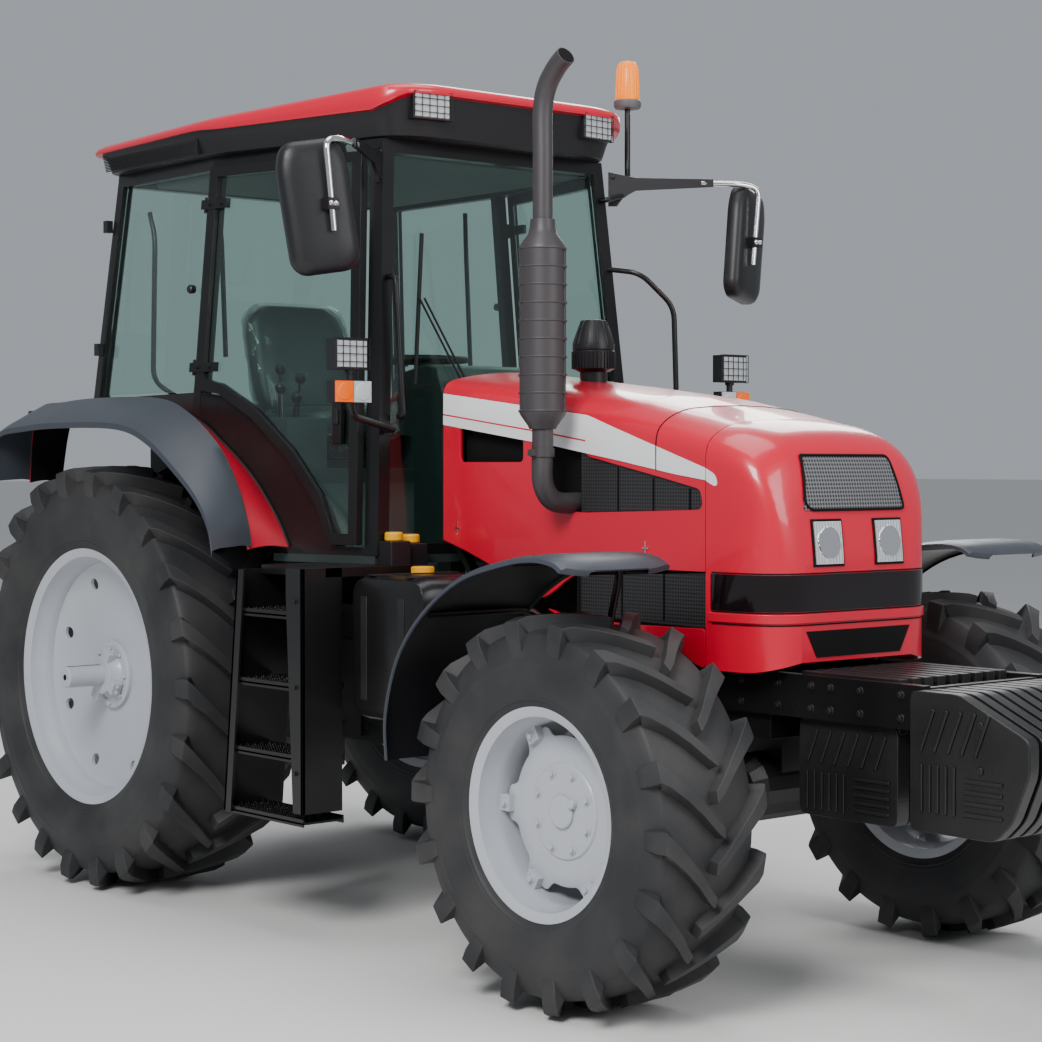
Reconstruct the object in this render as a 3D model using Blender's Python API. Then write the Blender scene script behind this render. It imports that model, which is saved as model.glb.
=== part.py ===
"""Farm tractor with a cab, front-wheel drive, front ballast and a three-point linkage.

Vehicle frame while building: X forward from the rear axle, Y to the tractor's left, Z up from the ground.
The last step moves every piece along X, so that the origin ends below the middle of the bounding box.
"""

import math

import bmesh
import bpy
from mathutils import Matrix, Vector

# ---- driving dimensions, metres ----
WHEELBASE = 2.76
FRONT_OVERHANG = 1.29
REAR_END = -1.15
GAP = 0.0003

REAR_TYRE_R = 0.836
REAR_TYRE_W = 0.52
REAR_WHEEL_Y = 0.834
REAR_BEAD_R = 0.484
REAR_RIM_R = 0.508
REAR_BAR_R = 0.042
REAR_BAR_END = 1.143

FRONT_TYRE_R = 0.612
FRONT_TYRE_W = 0.42
FRONT_WHEEL_Y = 0.881
FRONT_BEAD_R = 0.306
FRONT_RIM_R = 0.330
KINGPIN_Y = 0.72
STEER_ARM = 0.19

FLOOR_Z = 1.375
ROOF_TOP = 3.055
HOOD_HALF = 0.405
HOOD_REAR = 1.470
SHEET = 0.016

GEARBOX_TOP = 1.12
RAIL_HALF = 0.30
RAIL_TOP = 1.02
RAIL_BOTTOM = 0.885

LINK_Y = 0.24
LIFT_ARM = (-0.34, -0.030)

# The cab's side wall: half width at the centre pillar, how fast it narrows towards the front and the
# rear, and how fast it leans in with height. Pillars are lines of the side view, (x, z).
PILLAR_X = 0.4445
WALL_HALF = 0.7955
WALL_LEVEL = 2.384
WALL_TAPER = 0.2238
WALL_TAPER_REAR = -0.017
WALL_LEAN = 0.090
A_LOW = (1.366, 1.403)
A_TOP = (1.260, 2.867)
C_LOW = (-0.348, 1.960)
C_TOP = (-0.276, 2.850)
FRAME_OUT = -0.024
FRAME_DEPTH = 0.050
HINGE_OUT = -0.0128
HINGE_Z = (2.05, 2.68)
DOOR_TOP = 2.825

# ---- worked out from these ----
FRONT_END = WHEELBASE + FRONT_OVERHANG
ENGINE_REAR = HOOD_REAR + 0.030
ENGINE_FRONT = WHEELBASE - 0.21
SEAM_X = WHEELBASE + 0.06
NOSE_X = WHEELBASE + 0.35
AXLE_Z = REAR_TYRE_R
LIFT_COVER_TOP = AXLE_Z + 0.404
LINK_PIVOT = (-0.05, AXLE_Z - 0.266)
LINK_END = (-1.06, AXLE_Z - 0.266)
LIFT_PIVOT = (-0.20, AXLE_Z + 0.264)
HOOD_HINGE = (HOOD_REAR, 0.0, 1.96)
FRAME_IN = FRAME_OUT - FRAME_DEPTH

SIDES = (("right", -1), ("left", 1))


# ---- building tools ----
def solid(name, points, faces):
    """A closed mesh object, in triangles, whose faces look outwards."""
    mesh = bpy.data.meshes.new(name)
    mesh.from_pydata([tuple(p) for p in points], [], faces)
    work = bmesh.new()
    work.from_mesh(mesh)
    bmesh.ops.triangulate(work, faces=work.faces)
    bmesh.ops.recalc_face_normals(work, faces=work.faces)
    work.to_mesh(mesh)
    work.free()
    obj = bpy.data.objects.new(name, mesh)
    bpy.context.scene.collection.objects.link(obj)
    return obj


def loft(name, rings):
    """Skins rings of equal length one after the other and closes both ends."""
    size = len(rings[0])
    points = [p for ring in rings for p in ring]
    faces = [list(range(size)), list(range(len(points) - size, len(points)))]
    for row in range(len(rings) - 1):
        for k in range(size):
            a = row * size + k
            b = row * size + (k + 1) % size
            faces.append([a, b, b + size, a + size])
    return solid(name, points, faces)


def prism(name, outline, axis, low, high):
    """A flat outline drawn in the two other axes, in X, Y, Z order, pushed along one axis."""
    def at(u, v, w):
        return {"x": (w, u, v), "y": (u, w, v), "z": (u, v, w)}[axis]
    return loft(name, [[at(u, v, w) for u, v in outline] for w in (low, high)])


def box(name, low, high):
    outline = [(low[0], low[1]), (high[0], low[1]), (high[0], high[1]), (low[0], high[1])]
    return prism(name, outline, "z", low[2], high[2])


def ring_points(centre, radius, axis, along, steps, turn=0.0):
    points = []
    for k in range(steps):
        angle = math.tau * (k + turn) / steps
        u = radius * math.cos(angle)
        v = radius * math.sin(angle)
        offset = {"x": (along, u, v), "y": (u, along, v), "z": (u, v, along)}[axis]
        points.append(Vector(centre) + Vector(offset))
    return points


def rod(name, centre, axis, stations, steps=16):
    """A solid of revolution, given as (along, radius) stations."""
    return loft(name, [ring_points(centre, r, axis, along, steps) for along, r in stations])


def hoop(name, centre, axis, profile, steps):
    """A ring of revolution: the (along, radius) profile is a closed loop that stays off the axis."""
    size = len(profile)
    rings = [ring_points(centre, r, axis, along, steps) for along, r in profile]
    points = [rings[j][k] for k in range(steps) for j in range(size)]
    faces = []
    for k in range(steps):
        n = (k + 1) % steps
        for j in range(size):
            m = (j + 1) % size
            faces.append([k * size + j, k * size + m, n * size + m, n * size + j])
    return solid(name, points, faces)


def tube(name, path, radius, steps=8):
    """A round bar along a bent path, mitred at each corner."""
    path = [Vector(p) for p in path]
    first = (path[1] - path[0]).normalized()
    side = first.orthogonal().normalized()
    rings = []
    for i, here in enumerate(path):
        before = (here - path[max(i - 1, 0)]).normalized() if i else first
        after = (path[min(i + 1, len(path) - 1)] - here).normalized() if i < len(path) - 1 else before
        side = (side - before * side.dot(before)).normalized()
        across = before.cross(side)
        normal = (before + after).normalized()
        ring = []
        for k in range(steps):
            angle = math.tau * k / steps
            spoke = (side * math.cos(angle) + across * math.sin(angle)) * radius
            ring.append(here + spoke - before * (spoke.dot(normal) / before.dot(normal)))
        rings.append(ring)
    return loft(name, rings)


def bent(points, radius, steps=3):
    """The path through the points with each inner corner rounded."""
    points = [Vector(p) for p in points]
    path = [points[0]]
    for before, here, after in zip(points, points[1:], points[2:]):
        a = (before - here).normalized()
        b = (after - here).normalized()
        reach = min(radius, (before - here).length * 0.45, (after - here).length * 0.45)
        for k in range(steps + 1):
            t = k / steps
            path.append(here + a * reach * (1 - t) ** 2 + b * reach * t ** 2)
    path.append(points[-1])
    return path


def combine(operation, target, others, solver):
    """Joins the others to the target or cuts them from it, then drops them."""
    for other in others:
        step = target.modifiers.new("step", "BOOLEAN")
        step.operation = operation
        step.solver = solver
        step.object = other
        bpy.context.view_layer.update()
        graph = bpy.context.evaluated_depsgraph_get()
        result = bpy.data.meshes.new_from_object(target.evaluated_get(graph))
        target.modifiers.clear()
        target.data = result
        bpy.data.objects.remove(other)
    return target


def join(target, *others, solver="EXACT"):
    return combine("UNION", target, others, solver)


def cut(target, *others, solver="EXACT"):
    return combine("DIFFERENCE", target, others, solver)


def inset(outline, amount):
    """The outline with each side moved inwards by the same amount."""
    points = [Vector(p) for p in outline]
    turn = sum(a.x * b.y - b.x * a.y for a, b in zip(points, points[1:] + points[:1]))
    sign = 1 if turn > 0 else -1
    result = []
    for before, here, after in zip(points[-1:] + points[:-1], points, points[1:] + points[:1]):
        first = (here - before).normalized()
        second = (after - here).normalized()
        normal = Vector((-first.y, first.x)) * sign
        other = Vector((-second.y, second.x)) * sign
        corner = (normal + other) / (1 + normal.dot(other))
        result.append(tuple(here + corner * amount))
    return result


def on_line(low, top, z):
    """The x of a pillar's line at a height."""
    return low[0] + (top[0] - low[0]) * (z - low[1]) / (top[1] - low[1])


def wall(x, z, out=0.0):
    """Half width of the cab's side wall at a point of its side view."""
    taper = WALL_TAPER if x > PILLAR_X else WALL_TAPER_REAR
    return WALL_HALF - taper * (x - PILLAR_X) - WALL_LEAN * (z - WALL_LEVEL) + out


def wall_sheet(name, outline, side, inner, outer):
    """A slab that follows one flat part of the cab's side wall, between two offsets from it."""
    return loft(name, [[(x, side * wall(x, z, out), z) for x, z in outline] for out in (inner, outer)])


# ---- wheels ----
def wheel(end, label, side):
    """Tyre and rim; the rear rim carries its bar axle, the front one its hub boss."""
    rear = end == "rear"
    radius = REAR_TYRE_R if rear else FRONT_TYRE_R
    half = (REAR_TYRE_W if rear else FRONT_TYRE_W) / 2
    bead = REAR_BEAD_R if rear else FRONT_BEAD_R
    lip = REAR_RIM_R if rear else FRONT_RIM_R
    centre = (0, side * REAR_WHEEL_Y, radius) if rear else (WHEELBASE, side * FRONT_WHEEL_Y, radius)
    seat = half - (0.052 if rear else 0.042)
    rim_half = half - 0.040 if rear else half - 0.030
    belly = bead + (radius - bead) * 0.48
    profile = [
        (-seat, bead), (-seat, lip + 0.006), (-half, belly), (-half * 0.94, radius * 0.955),
        (-half * 0.72, radius),
        (half * 0.72, radius), (half * 0.94, radius * 0.955), (half, belly), (seat, lip + 0.006),
        (seat, bead),
    ]
    hoop(f"tyre_{end}_{label}", centre, "y", profile, 40)
    bed = bead - GAP
    disc = (0.100 if rear else 0.080) * side
    thick = 0.014 * side
    hub = 0.16 if rear else 0.12
    out = rim_half * side
    edge = (seat + 0.0008) * side
    inner = bed - 0.012
    profile = [
        (out, lip), (edge, lip), (edge, bed), (-edge, bed), (-edge, lip), (-out, lip), (-out, inner),
        (disc - thick, inner), (disc - thick - 0.02 * side, hub), (disc - thick - 0.02 * side, 0.035),
        (disc - 0.02 * side, 0.035), (disc - 0.02 * side, hub), (disc, inner), (out, inner),
    ]
    rim = hoop(f"rim_{end}_{label}", centre, "y", profile, 40)
    hub_face = disc - 0.02 * side
    if rear:
        bar_start = 0.50 * side - centre[1]
        stations = [(bar_start, REAR_BAR_R), (side * REAR_BAR_END - centre[1], REAR_BAR_R)]
        bar = rod("bar", centre, "y", stations, 20)
        collar = [(0.5604 * side - centre[1], 0.065), (0.585 * side - centre[1], 0.065)]
        join(bar, rod("collar", centre, "y", collar, 20))
        clamp = rod("clamp", centre, "y", [(hub_face - 0.10 * side, 0.105),
                                           (hub_face + 0.055 * side, 0.085)], 20)
        return join(rim, clamp, bar)
    boss = rod("boss", centre, "y", [(hub_face - 0.016 * side, 0.115), (hub_face + 0.012 * side, 0.105)], 20)
    return join(rim, boss)


# ---- running gear ----
def rear_axle():
    """Differential housing with both axle trumpets; the bar axles turn in open bores."""
    body = box("rear_axle", (-0.26, -0.24, AXLE_Z - 0.286), (0.30, 0.24, AXLE_Z + 0.204))
    for _, side in SIDES:
        stations = [(0.20 * side, 0.150), (0.34 * side, 0.105), (0.53 * side, 0.085), (0.531 * side, 0.12),
                    (0.56 * side, 0.12)]
        join(body, rod("trumpet", (0, 0, AXLE_Z), "y", stations, 20))
        bore_r = REAR_BAR_R + 0.006
        cut(body, rod("bore", (0, 0, AXLE_Z), "y", [(0.48 * side, bore_r), (0.60 * side, bore_r)], 20))
    join(body, box("lift_cover", (-0.27, -0.20, AXLE_Z + 0.164), (0.26, 0.20, LIFT_COVER_TOP)))
    cut(body, rod("shaft_bore", (LIFT_PIVOT[0], 0, LIFT_PIVOT[1]), "y", [(-0.4, 0.038), (0.4, 0.038)], 16))
    for _, side in SIDES:
        pin = [(0.20 * side, 0.032), (side * (LINK_Y + 0.0455), 0.032)]
        join(body, rod("link_pin", (LINK_PIVOT[0], 0, LINK_PIVOT[1]), "y", pin, 12))
    return join(body, rod("pto_shaft", (0, 0, AXLE_Z - 0.136), "x", [(-0.20, 0.035), (-0.36, 0.030)], 16))


def gearbox():
    return box("gearbox", (0.30 + GAP, -0.22, 0.58), (ENGINE_REAR - GAP, 0.22, GEARBOX_TOP))


def engine():
    """The engine as one plain block, with its sump below."""
    block = box("engine_block", (ENGINE_REAR, -0.25, 0.80), (ENGINE_FRONT, 0.25, 1.50))
    return join(block, box("sump", (ENGINE_REAR + 0.05, -0.17, 0.68), (ENGINE_FRONT - 0.15, 0.17, 0.85)))


def front_frame():
    """Two long rails from the engine to the ballast, joined by cross plates; carries the front axle."""
    inner = RAIL_HALF - 0.038
    body = box("front_frame", (ENGINE_FRONT + GAP, -inner - 0.034, 0.90),
               (ENGINE_FRONT + 0.07, inner + 0.034, 1.01))
    for _, side in SIDES:
        low, high = sorted((side * inner, side * RAIL_HALF))
        join(body, box("rail", (WHEELBASE - 0.36, low, RAIL_BOTTOM), (WHEELBASE + 0.86, high, RAIL_TOP)))
    saddle = box("saddle", (WHEELBASE - 0.16, -inner - 0.008, 0.80), (WHEELBASE + 0.22, inner + 0.008, 0.93))
    plate = box("plate", (WHEELBASE + 0.825, -inner - 0.013, 0.62), (WHEELBASE + 0.855, inner + 0.013, 1.012))
    tie = box("tie", (WHEELBASE + 0.14, -inner - 0.018, 0.895), (WHEELBASE + 0.30, inner + 0.018, 0.96))
    return join(body, saddle, plate, tie)


def ballast():
    """Two stacks of hanging plates: one between the rails, one ahead of them."""
    back = WHEELBASE + 0.86 + GAP
    outline = [(back, 0.60), (FRONT_END - 0.12, 0.60), (FRONT_END - 0.06, 0.66), (FRONT_END, 0.80),
               (FRONT_END, 0.90),
               (FRONT_END - 0.25, 1.015), (back, 1.015)]
    front = prism("ballast_front", outline, "y", -0.36, 0.36)
    inner = RAIL_HALF - 0.038
    x = (WHEELBASE + 0.34, WHEELBASE + 0.74)
    rear = box("ballast_rear", (x[0], -inner - 0.008, 0.58), (x[1], inner + 0.008, RAIL_BOTTOM - GAP))
    return front, join(rear, box("neck", (x[0], -inner + GAP, 0.86), (x[1], inner - GAP, 1.03)))


def front_axle():
    """Driven beam axle: centre housing, tapered arms and a fork at each end for the kingpins."""
    height = FRONT_TYRE_R
    end = KINGPIN_Y - 0.135
    body = rod("front_axle", (WHEELBASE, 0, height), "y",
               [(-end, 0.062), (-0.20, 0.080), (-0.16, 0.115), (0.16, 0.115), (0.20, 0.080), (end, 0.062)],
               16)
    join(body, box("pivot", (WHEELBASE - 0.10, -0.09, height + 0.05), (WHEELBASE + 0.10, 0.09, 0.80 - GAP)))
    inner, web, outer = KINGPIN_Y - 0.16, KINGPIN_Y - 0.12, KINGPIN_Y + 0.02
    for _, side in SIDES:
        outline = [(inner, -0.170), (outer, -0.170), (outer, -0.140), (web, -0.140), (web, 0.140),
                   (outer, 0.140),
                   (outer, 0.170), (inner, 0.170)]
        outline = [(side * y, z + height) for y, z in outline]
        join(body, prism("fork", outline, "x", WHEELBASE - 0.06, WHEELBASE + 0.06))
    return body


def knuckle(label, side):
    """Steered hub carrier: kingpin housing, hub that fills the rim, steering arm and fender lug."""
    height = FRONT_TYRE_R
    post = (WHEELBASE, side * KINGPIN_Y, height)
    body = rod(f"knuckle_{label}", post, "z", [(-0.1395, 0.055), (0.1395, 0.055)], 16)
    hub_in = side * (KINGPIN_Y + 0.02)
    hub_out = side * (FRONT_WHEEL_Y + 0.080 - 0.036 - 0.0005)
    hub = rod("hub", (WHEELBASE, 0, height), "y", [(hub_in, 0.118), (hub_out, 0.118)], 20)
    low = min(side * (KINGPIN_Y - 0.035), side * (KINGPIN_Y + 0.025))
    arm = box("arm", (WHEELBASE - STEER_ARM - 0.03, low, height - 0.075),
              (WHEELBASE, low + 0.06, height - 0.045))
    low = min(side * (KINGPIN_Y - 0.078), side * (KINGPIN_Y + 0.005))
    lug = box("lug", (WHEELBASE - 0.250, low, height + 0.050), (WHEELBASE - 0.155, low + 0.083,
                                                                height + 0.080))
    low = min(side * (KINGPIN_Y - 0.028), side * (KINGPIN_Y + 0.005))
    neck = box("neck", (WHEELBASE - 0.20, low, height + 0.050), (WHEELBASE - 0.01, low + 0.033,
                                                                 height + 0.080))
    return join(body, hub, arm, neck, lug)


def tie_rod():
    """Bar between the two steering arms, with a pin up through each arm's end."""
    x = WHEELBASE - STEER_ARM
    z = FRONT_TYRE_R - 0.092
    body = rod("tie_rod", (x, 0, z), "y", [(-KINGPIN_Y - 0.02, 0.015), (KINGPIN_Y + 0.02, 0.015)], 10)
    for _, side in SIDES:
        eye = rod("eye", (x, side * KINGPIN_Y, z), "z", [(-0.022, 0.027), (0.0167, 0.027)], 12)
        join(body, eye)
    return body


def fender_curve(offset):
    """Side view of the front fender about the wheel centre, low rear end to front tip."""
    spine = [(-0.650, 0.110), (-0.655, 0.260), (-0.590, 0.450), (-0.460, 0.600), (-0.270, 0.720),
             (-0.050, 0.780),
             (0.110, 0.797), (0.230, 0.797)]
    points = []
    for i, here in enumerate(spine):
        a = Vector(spine[max(i - 1, 0)])
        b = Vector(spine[min(i + 1, len(spine) - 1)])
        along = (b - a).normalized()
        normal = Vector((-along.y, along.x))
        place = Vector(here) + normal * offset
        points.append((WHEELBASE + place.x, FRONT_TYRE_R + place.y))
    return points


def front_fender(label, side):
    """Curved cover over the front tyre, on two bent tubes from the knuckle's lug."""
    low = side * (FRONT_WHEEL_Y - 0.166)
    high = side * (FRONT_WHEEL_Y + 0.284)
    outline = fender_curve(0.0) + fender_curve(-0.008)[::-1]
    body = prism(f"front_fender_{label}", outline, "y", min(low, high), max(low, high))
    y = side * (KINGPIN_Y - 0.066)
    foot = FRONT_TYRE_R + 0.080 + GAP
    for back, station in ((0.230, 3), (0.180, 5)):
        x, z = fender_curve(-0.014)[station]
        end = (x, side * (FRONT_WHEEL_Y + 0.24), z)
        path = [(WHEELBASE - back, y, foot), (WHEELBASE - back, y, foot + 0.20), (x, y, z), end]
        join(body, tube("stay", bent(path, 0.07), 0.011, 6))
    return body


# ---- linkage ----
def linkage(label, side):
    """One lower link and its lift rod."""
    px, pz = LINK_PIVOT
    ex, ez = LINK_END
    outline = [(px + 0.03, pz - 0.035), (px + 0.03, pz + 0.035), (ex + 0.10, ez + 0.035),
               (ex - 0.035, ez + 0.035),
               (ex - 0.035, ez - 0.035), (ex + 0.10, ez - 0.035)]
    y = side * (LINK_Y + 0.06)
    link = prism(f"lower_link_{label}", outline, "y", y - 0.014, y + 0.014)
    top = (LIFT_PIVOT[0] + LIFT_ARM[0], LIFT_PIVOT[1] + LIFT_ARM[1])
    t = (top[0] - px) / (ex - px)
    low = (px + LIFT_ARM[0], pz + LIFT_ARM[1])
    y = side * (LINK_Y + 0.095)
    bar = tube(f"lift_rod_{label}", [(top[0], y, top[1] + 0.03), (low[0], y, low[1] - 0.03)], 0.017, 10)
    for x, z in (top, low):
        pin = [(side * (LINK_Y + 0.0745), 0.013), (side * (LINK_Y + 0.090), 0.013)]
        join(bar, rod("pin", (x, 0, z), "y", pin, 10))
    return link, bar


def lift_arms():
    """Rockshaft across the back of the axle housing with both lift arms."""
    x, z = LIFT_PIVOT
    half = LINK_Y + 0.09
    body = rod("lift_arms", (x, 0, z), "y", [(-half, 0.032), (half, 0.032)], 12)
    for _, side in SIDES:
        join(body, rod("collar", (x, 0, z), "y", [(side * 0.2004, 0.050), (side * 0.220, 0.050)], 12),
             solver="MANIFOLD")
        top = (x + LIFT_ARM[0], z + LIFT_ARM[1])
        outline = [(x + 0.045, z - 0.045), (x + 0.045, z + 0.045), (top[0] - 0.035, top[1] + 0.035),
                   (top[0] - 0.035, top[1] - 0.035)]
        y = side * (LINK_Y + 0.060)
        join(body, prism("arm", outline, "y", y - 0.012, y + 0.012), solver="MANIFOLD")
    return body


def rear_fittings():
    """Top link and drawbar."""
    low, high = AXLE_Z + 0.124, AXLE_Z + 0.184
    top = tube("top_link", [(-0.26 - GAP, 0, low), (-0.32, 0, low), (-0.95, 0, high)], 0.020, 10)
    drawbar = box("drawbar", (REAR_END, -0.04, AXLE_Z - 0.416), (0.20, 0.04, AXLE_Z - 0.366))
    join(drawbar, box("hanger", (-0.20, -0.10, AXLE_Z - 0.436), (0.16, 0.10, AXLE_Z - 0.286 - GAP)))
    return top, drawbar


# ---- bodywork ----
def hood_sections():
    """Stations of the hood from the cab to the seam: (x, crown z, shoulder z, lower edge z)."""
    span = SEAM_X - HOOD_REAR
    stations = [(0.0, 2.020, 1.965, 1.820), (0.46, 1.950, 1.875, 1.738), (0.69, 1.911, 1.825, 1.690),
                (0.89, 1.857, 1.775, 1.645), (1.0, 1.825, 1.745, 1.625)]
    return [(HOOD_REAR + span * t, *levels) for t, *levels in stations]


def hood_level(x, which):
    """Height of the crown, shoulder or lower edge at a station between the listed ones."""
    rows = hood_sections()
    for a, b in zip(rows, rows[1:]):
        if x <= b[0]:
            break
    return a[which] + (b[which] - a[which]) * (x - a[0]) / (b[0] - a[0])


def hood_ring(x, crown, shoulder, low, half=HOOD_HALF):
    """A U-shaped section of sheet: the outer line from right to left, then the inner line back."""
    ring = []
    for inset_by, order in ((0.0, 1), (SHEET, -1)):
        edge = half - inset_by
        brow = edge - 0.012
        points = [(edge, low), (edge, shoulder - 0.10), (brow, shoulder - inset_by * 0.5),
                  (brow * 0.74, crown - 0.022 - inset_by), (brow * 0.35, crown - 0.004 - inset_by)]
        line = [(x, -y, z) for y, z in points] + [(x, y, z) for y, z in reversed(points)]
        ring += line[::order]
    return ring


def hood():
    """Opening bonnet: top shell, open below, with the hinge lugs inside its rear edge."""
    rows = hood_sections()
    rows[-1] = (SEAM_X - GAP / 2, *rows[-1][1:])
    body = loft("hood_top", [hood_ring(*row) for row in rows])
    low, high = HOOD_HINGE[2] - 0.008, HOOD_HINGE[2] + 0.030
    for y in (-0.2698, 0.2698):
        join(body, box("lug", (HOOD_REAR, y - 0.0093, low), (HOOD_REAR + 0.020, y + 0.0093, high)))
    return body


def nose():
    """Front of the bonnet with grille, headlights and bumper: a shell with a raked front wall."""
    _, crown, shoulder, _ = hood_sections()[-1]
    rows = [(SEAM_X + GAP / 2, crown, shoulder, 1.02, HOOD_HALF), (NOSE_X - 0.16, 1.790, 1.705, 1.02, 0.402),
            (NOSE_X - 0.11, 1.765, 1.670, 1.02, 0.390), (NOSE_X - 0.07, 1.680, 1.600, 1.03, 0.365)]
    body = loft("nose", [hood_ring(*row) for row in rows])
    front = []
    for row in (rows[-1], (NOSE_X - 0.03, 1.560, 1.500, 1.04, 0.325), (NOSE_X, 1.400, 1.360, 1.05, 0.270)):
        ring = hood_ring(*row)
        front.append(ring[:len(ring) // 2])
    return join(body, loft("front_wall", front))


def hood_frame():
    """Bulkhead behind the engine that carries the hood's hinges and the side panels."""
    side = HOOD_HALF - 0.018 - GAP
    half = [(0.20, GEARBOX_TOP + GAP), (side, 1.43), (side, 1.80), (side - 0.015, 1.86), (0.30, 1.93)]
    outline = half + [(-y, z) for y, z in reversed(half)]
    front = ENGINE_REAR - GAP
    body = prism("hood_frame", outline, "x", HOOD_HINGE[0], front)
    for y in (-0.25, 0.25):
        low = (HOOD_HINGE[0] - 0.008, y - 0.010, 1.90)
        join(body, box("ear", low, (front, y + 0.010, HOOD_HINGE[2] + 0.010)))
    return body


def side_panel(label, side):
    """Removable panel below the hood's edge, with the curved lower edge over the tyre."""
    seam = SEAM_X - GAP / 2
    outline = [(HOOD_REAR, 1.40), (1.60, 1.37), (1.80, 1.33), (WHEELBASE - 0.71, 1.31),
               (WHEELBASE - 0.36, 1.25),
               (WHEELBASE - 0.24, 1.12), (WHEELBASE - 0.06, 1.03), (seam, 1.02)]
    top = [(row[0], row[3] - 2 * GAP) for row in hood_sections()]
    top[-1] = (seam, top[-1][1])
    outline += top[::-1]
    sheets = [[(x, side * y, z) for x, z in outline] for y in (HOOD_HALF, HOOD_HALF - 0.018)]
    return loft(f"side_panel_{label}", sheets)


def exhaust():
    """Silencer and curved pipe standing outboard of the right side panel."""
    x, y = HOOD_REAR + 0.70, -0.53
    stations = [(1.69, 0.045), (1.80, 0.045), (1.84, 0.081), (2.42, 0.081), (2.47, 0.042), (2.50, 0.040)]
    body = rod("exhaust", (x, y, 0), "z", stations, 16)
    path = [(x, y, 2.49), (x, y, 2.86), (x + 0.02, y, 2.94), (x + 0.07, y, 3.00), (x + 0.12, y, 3.035)]
    join(body, tube("tail", path, 0.038, 12))
    skin = -HOOD_HALF - GAP
    elbow = [(x, y, 1.72), (x, y, 1.60), (x, y + 0.02, 1.56), (x, y + 0.05, 1.545), (x, skin, 1.545)]
    return join(body, tube("elbow", elbow, 0.038, 12))


def precleaner():
    """Air inlet stack on the middle of the hood, capped by a ribbed bowl."""
    x = HOOD_REAR + 0.37
    foot = hood_level(x - 0.05, 1) - 0.004 + GAP
    stations = [(0.0, 0.050), (0.05, 0.050), (0.06, 0.070), (0.13, 0.078), (0.19, 0.078), (0.235, 0.050)]
    return rod("air_precleaner", (x, 0, foot), "z", stations, 20)


def fuel_tank():
    body = box("fuel_tank", (1.53, -0.88, 0.79), (1.955, -0.44, 1.29))
    return join(body, box("saddle", (1.66, -0.50, 0.93), (1.90, -0.2502, 1.00)))


def left_tank():
    body = box("left_tank", (1.53, 0.44, 0.79), (1.955, 0.88, 1.29))
    return join(body, box("saddle", (1.66, 0.2502, 0.93), (1.90, 0.50, 1.00)))


def steps(label, side):
    """Four treads between two posts, hung from the cab floor."""
    lows = ((0.99, 0.42), (1.035, 0.64), (1.09, 0.89), (1.09, 1.14))
    top_z = FLOOR_Z - 0.060 - GAP
    low, high = sorted((side * 0.88, side * 1.05))
    body = box(f"steps_{label}", (1.47, low, 0.46), (1.50, high, top_z - 0.01))
    low, high = sorted((side * 0.80, side * 1.05))
    rear_post = [(1.00, 0.42), (1.03, 0.42), (1.12, 1.300), (1.09, 1.300)]
    join(body, prism("rear_post", rear_post, "y", low, high))
    low, high = sorted((side * 0.81, side * 1.04))
    for x, z in lows:
        join(body, box("tread", (x, low, z), (1.48, high, z + 0.03)))
    low, high = sorted((side * 0.50, side * 0.95))
    return join(body, box("hanger", (1.10, low, top_z - 0.035), (1.50, high, top_z)))


def fender_profile(drop=0.0, sweep=0.0):
    """Side view of the top of the rear fender: front foot, crown and tail; sweep pulls the foot back."""
    points = [(1.100, 1.368), (1.075, 1.46), (1.00, 1.60 - drop * 0.5), (0.87, 1.74 - drop),
              (0.66, 1.86 - drop),
              (PILLAR_X, 1.918 - drop), (0.05, 1.930 - drop), (-0.30, 1.920 - drop), (-0.54, 1.880 - drop),
              (-0.60, 1.60)]
    return [(x - sweep * max(0.0, x / 1.1) ** 2, z) for x, z in points]


def wing_seam():
    """Side view of the rear fender's inner edge, along the cab wall, from its foot to its tail."""
    front = [(0.980, 1.368), (0.935, 1.440), (0.865, 1.527), (0.760, 1.637), (0.610, 1.752),
             (PILLAR_X, 1.853)]
    return front + fender_profile()[6:]


def rear_fender(label, side):
    """Red shell over the rear wheel, from the cab wall out to the flare."""
    rings = []
    for (ax, az), (bx, bz) in zip(wing_seam(), fender_profile(0.0, 0.045)):
        back = -0.014 if ax > PILLAR_X else 0.012 if ax < -0.5 else 0.0
        inner = [(x, side * wall(x, z, FRAME_OUT + GAP), z) for x, z in ((ax, az), (ax + back, az - 0.014))]
        rings.append([inner[0], (bx, side * 0.98, bz), (bx + back, side * 0.98, bz - 0.014), inner[1]])
    return join(loft(f"rear_fender_{label}", rings), flare(side))


def flare(side):
    """Outer lip of the rear fender, drooping towards the tyre's shoulder."""
    rings = []
    for a, b in zip(fender_profile(0.0, 0.045), fender_profile(0.09)):
        inner = (a[0], side * 0.972, a[1])
        outer = (b[0], side * 1.165, b[1])
        dx = -0.016 if a[0] > 0.9 else 0.0
        under = [(x + dx, y, z - 0.016) for x, y, z in (outer, inner)]
        rings.append([inner, outer, *under])
    return loft("flare", rings)


# ---- cab ----
def post(name, low, high, half_x, side):
    """A leaning pillar between two (x, z) points, lying inside the cab wall."""
    rings = []
    for x, z in (low, high):
        front, rear = x + half_x, x - half_x
        rings.append([(px, side * wall(px, z, out), z) for px, out in
                      ((rear, FRAME_OUT), (front, FRAME_OUT), (front, FRAME_IN), (rear, FRAME_IN))])
    return loft(name, rings)


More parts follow.
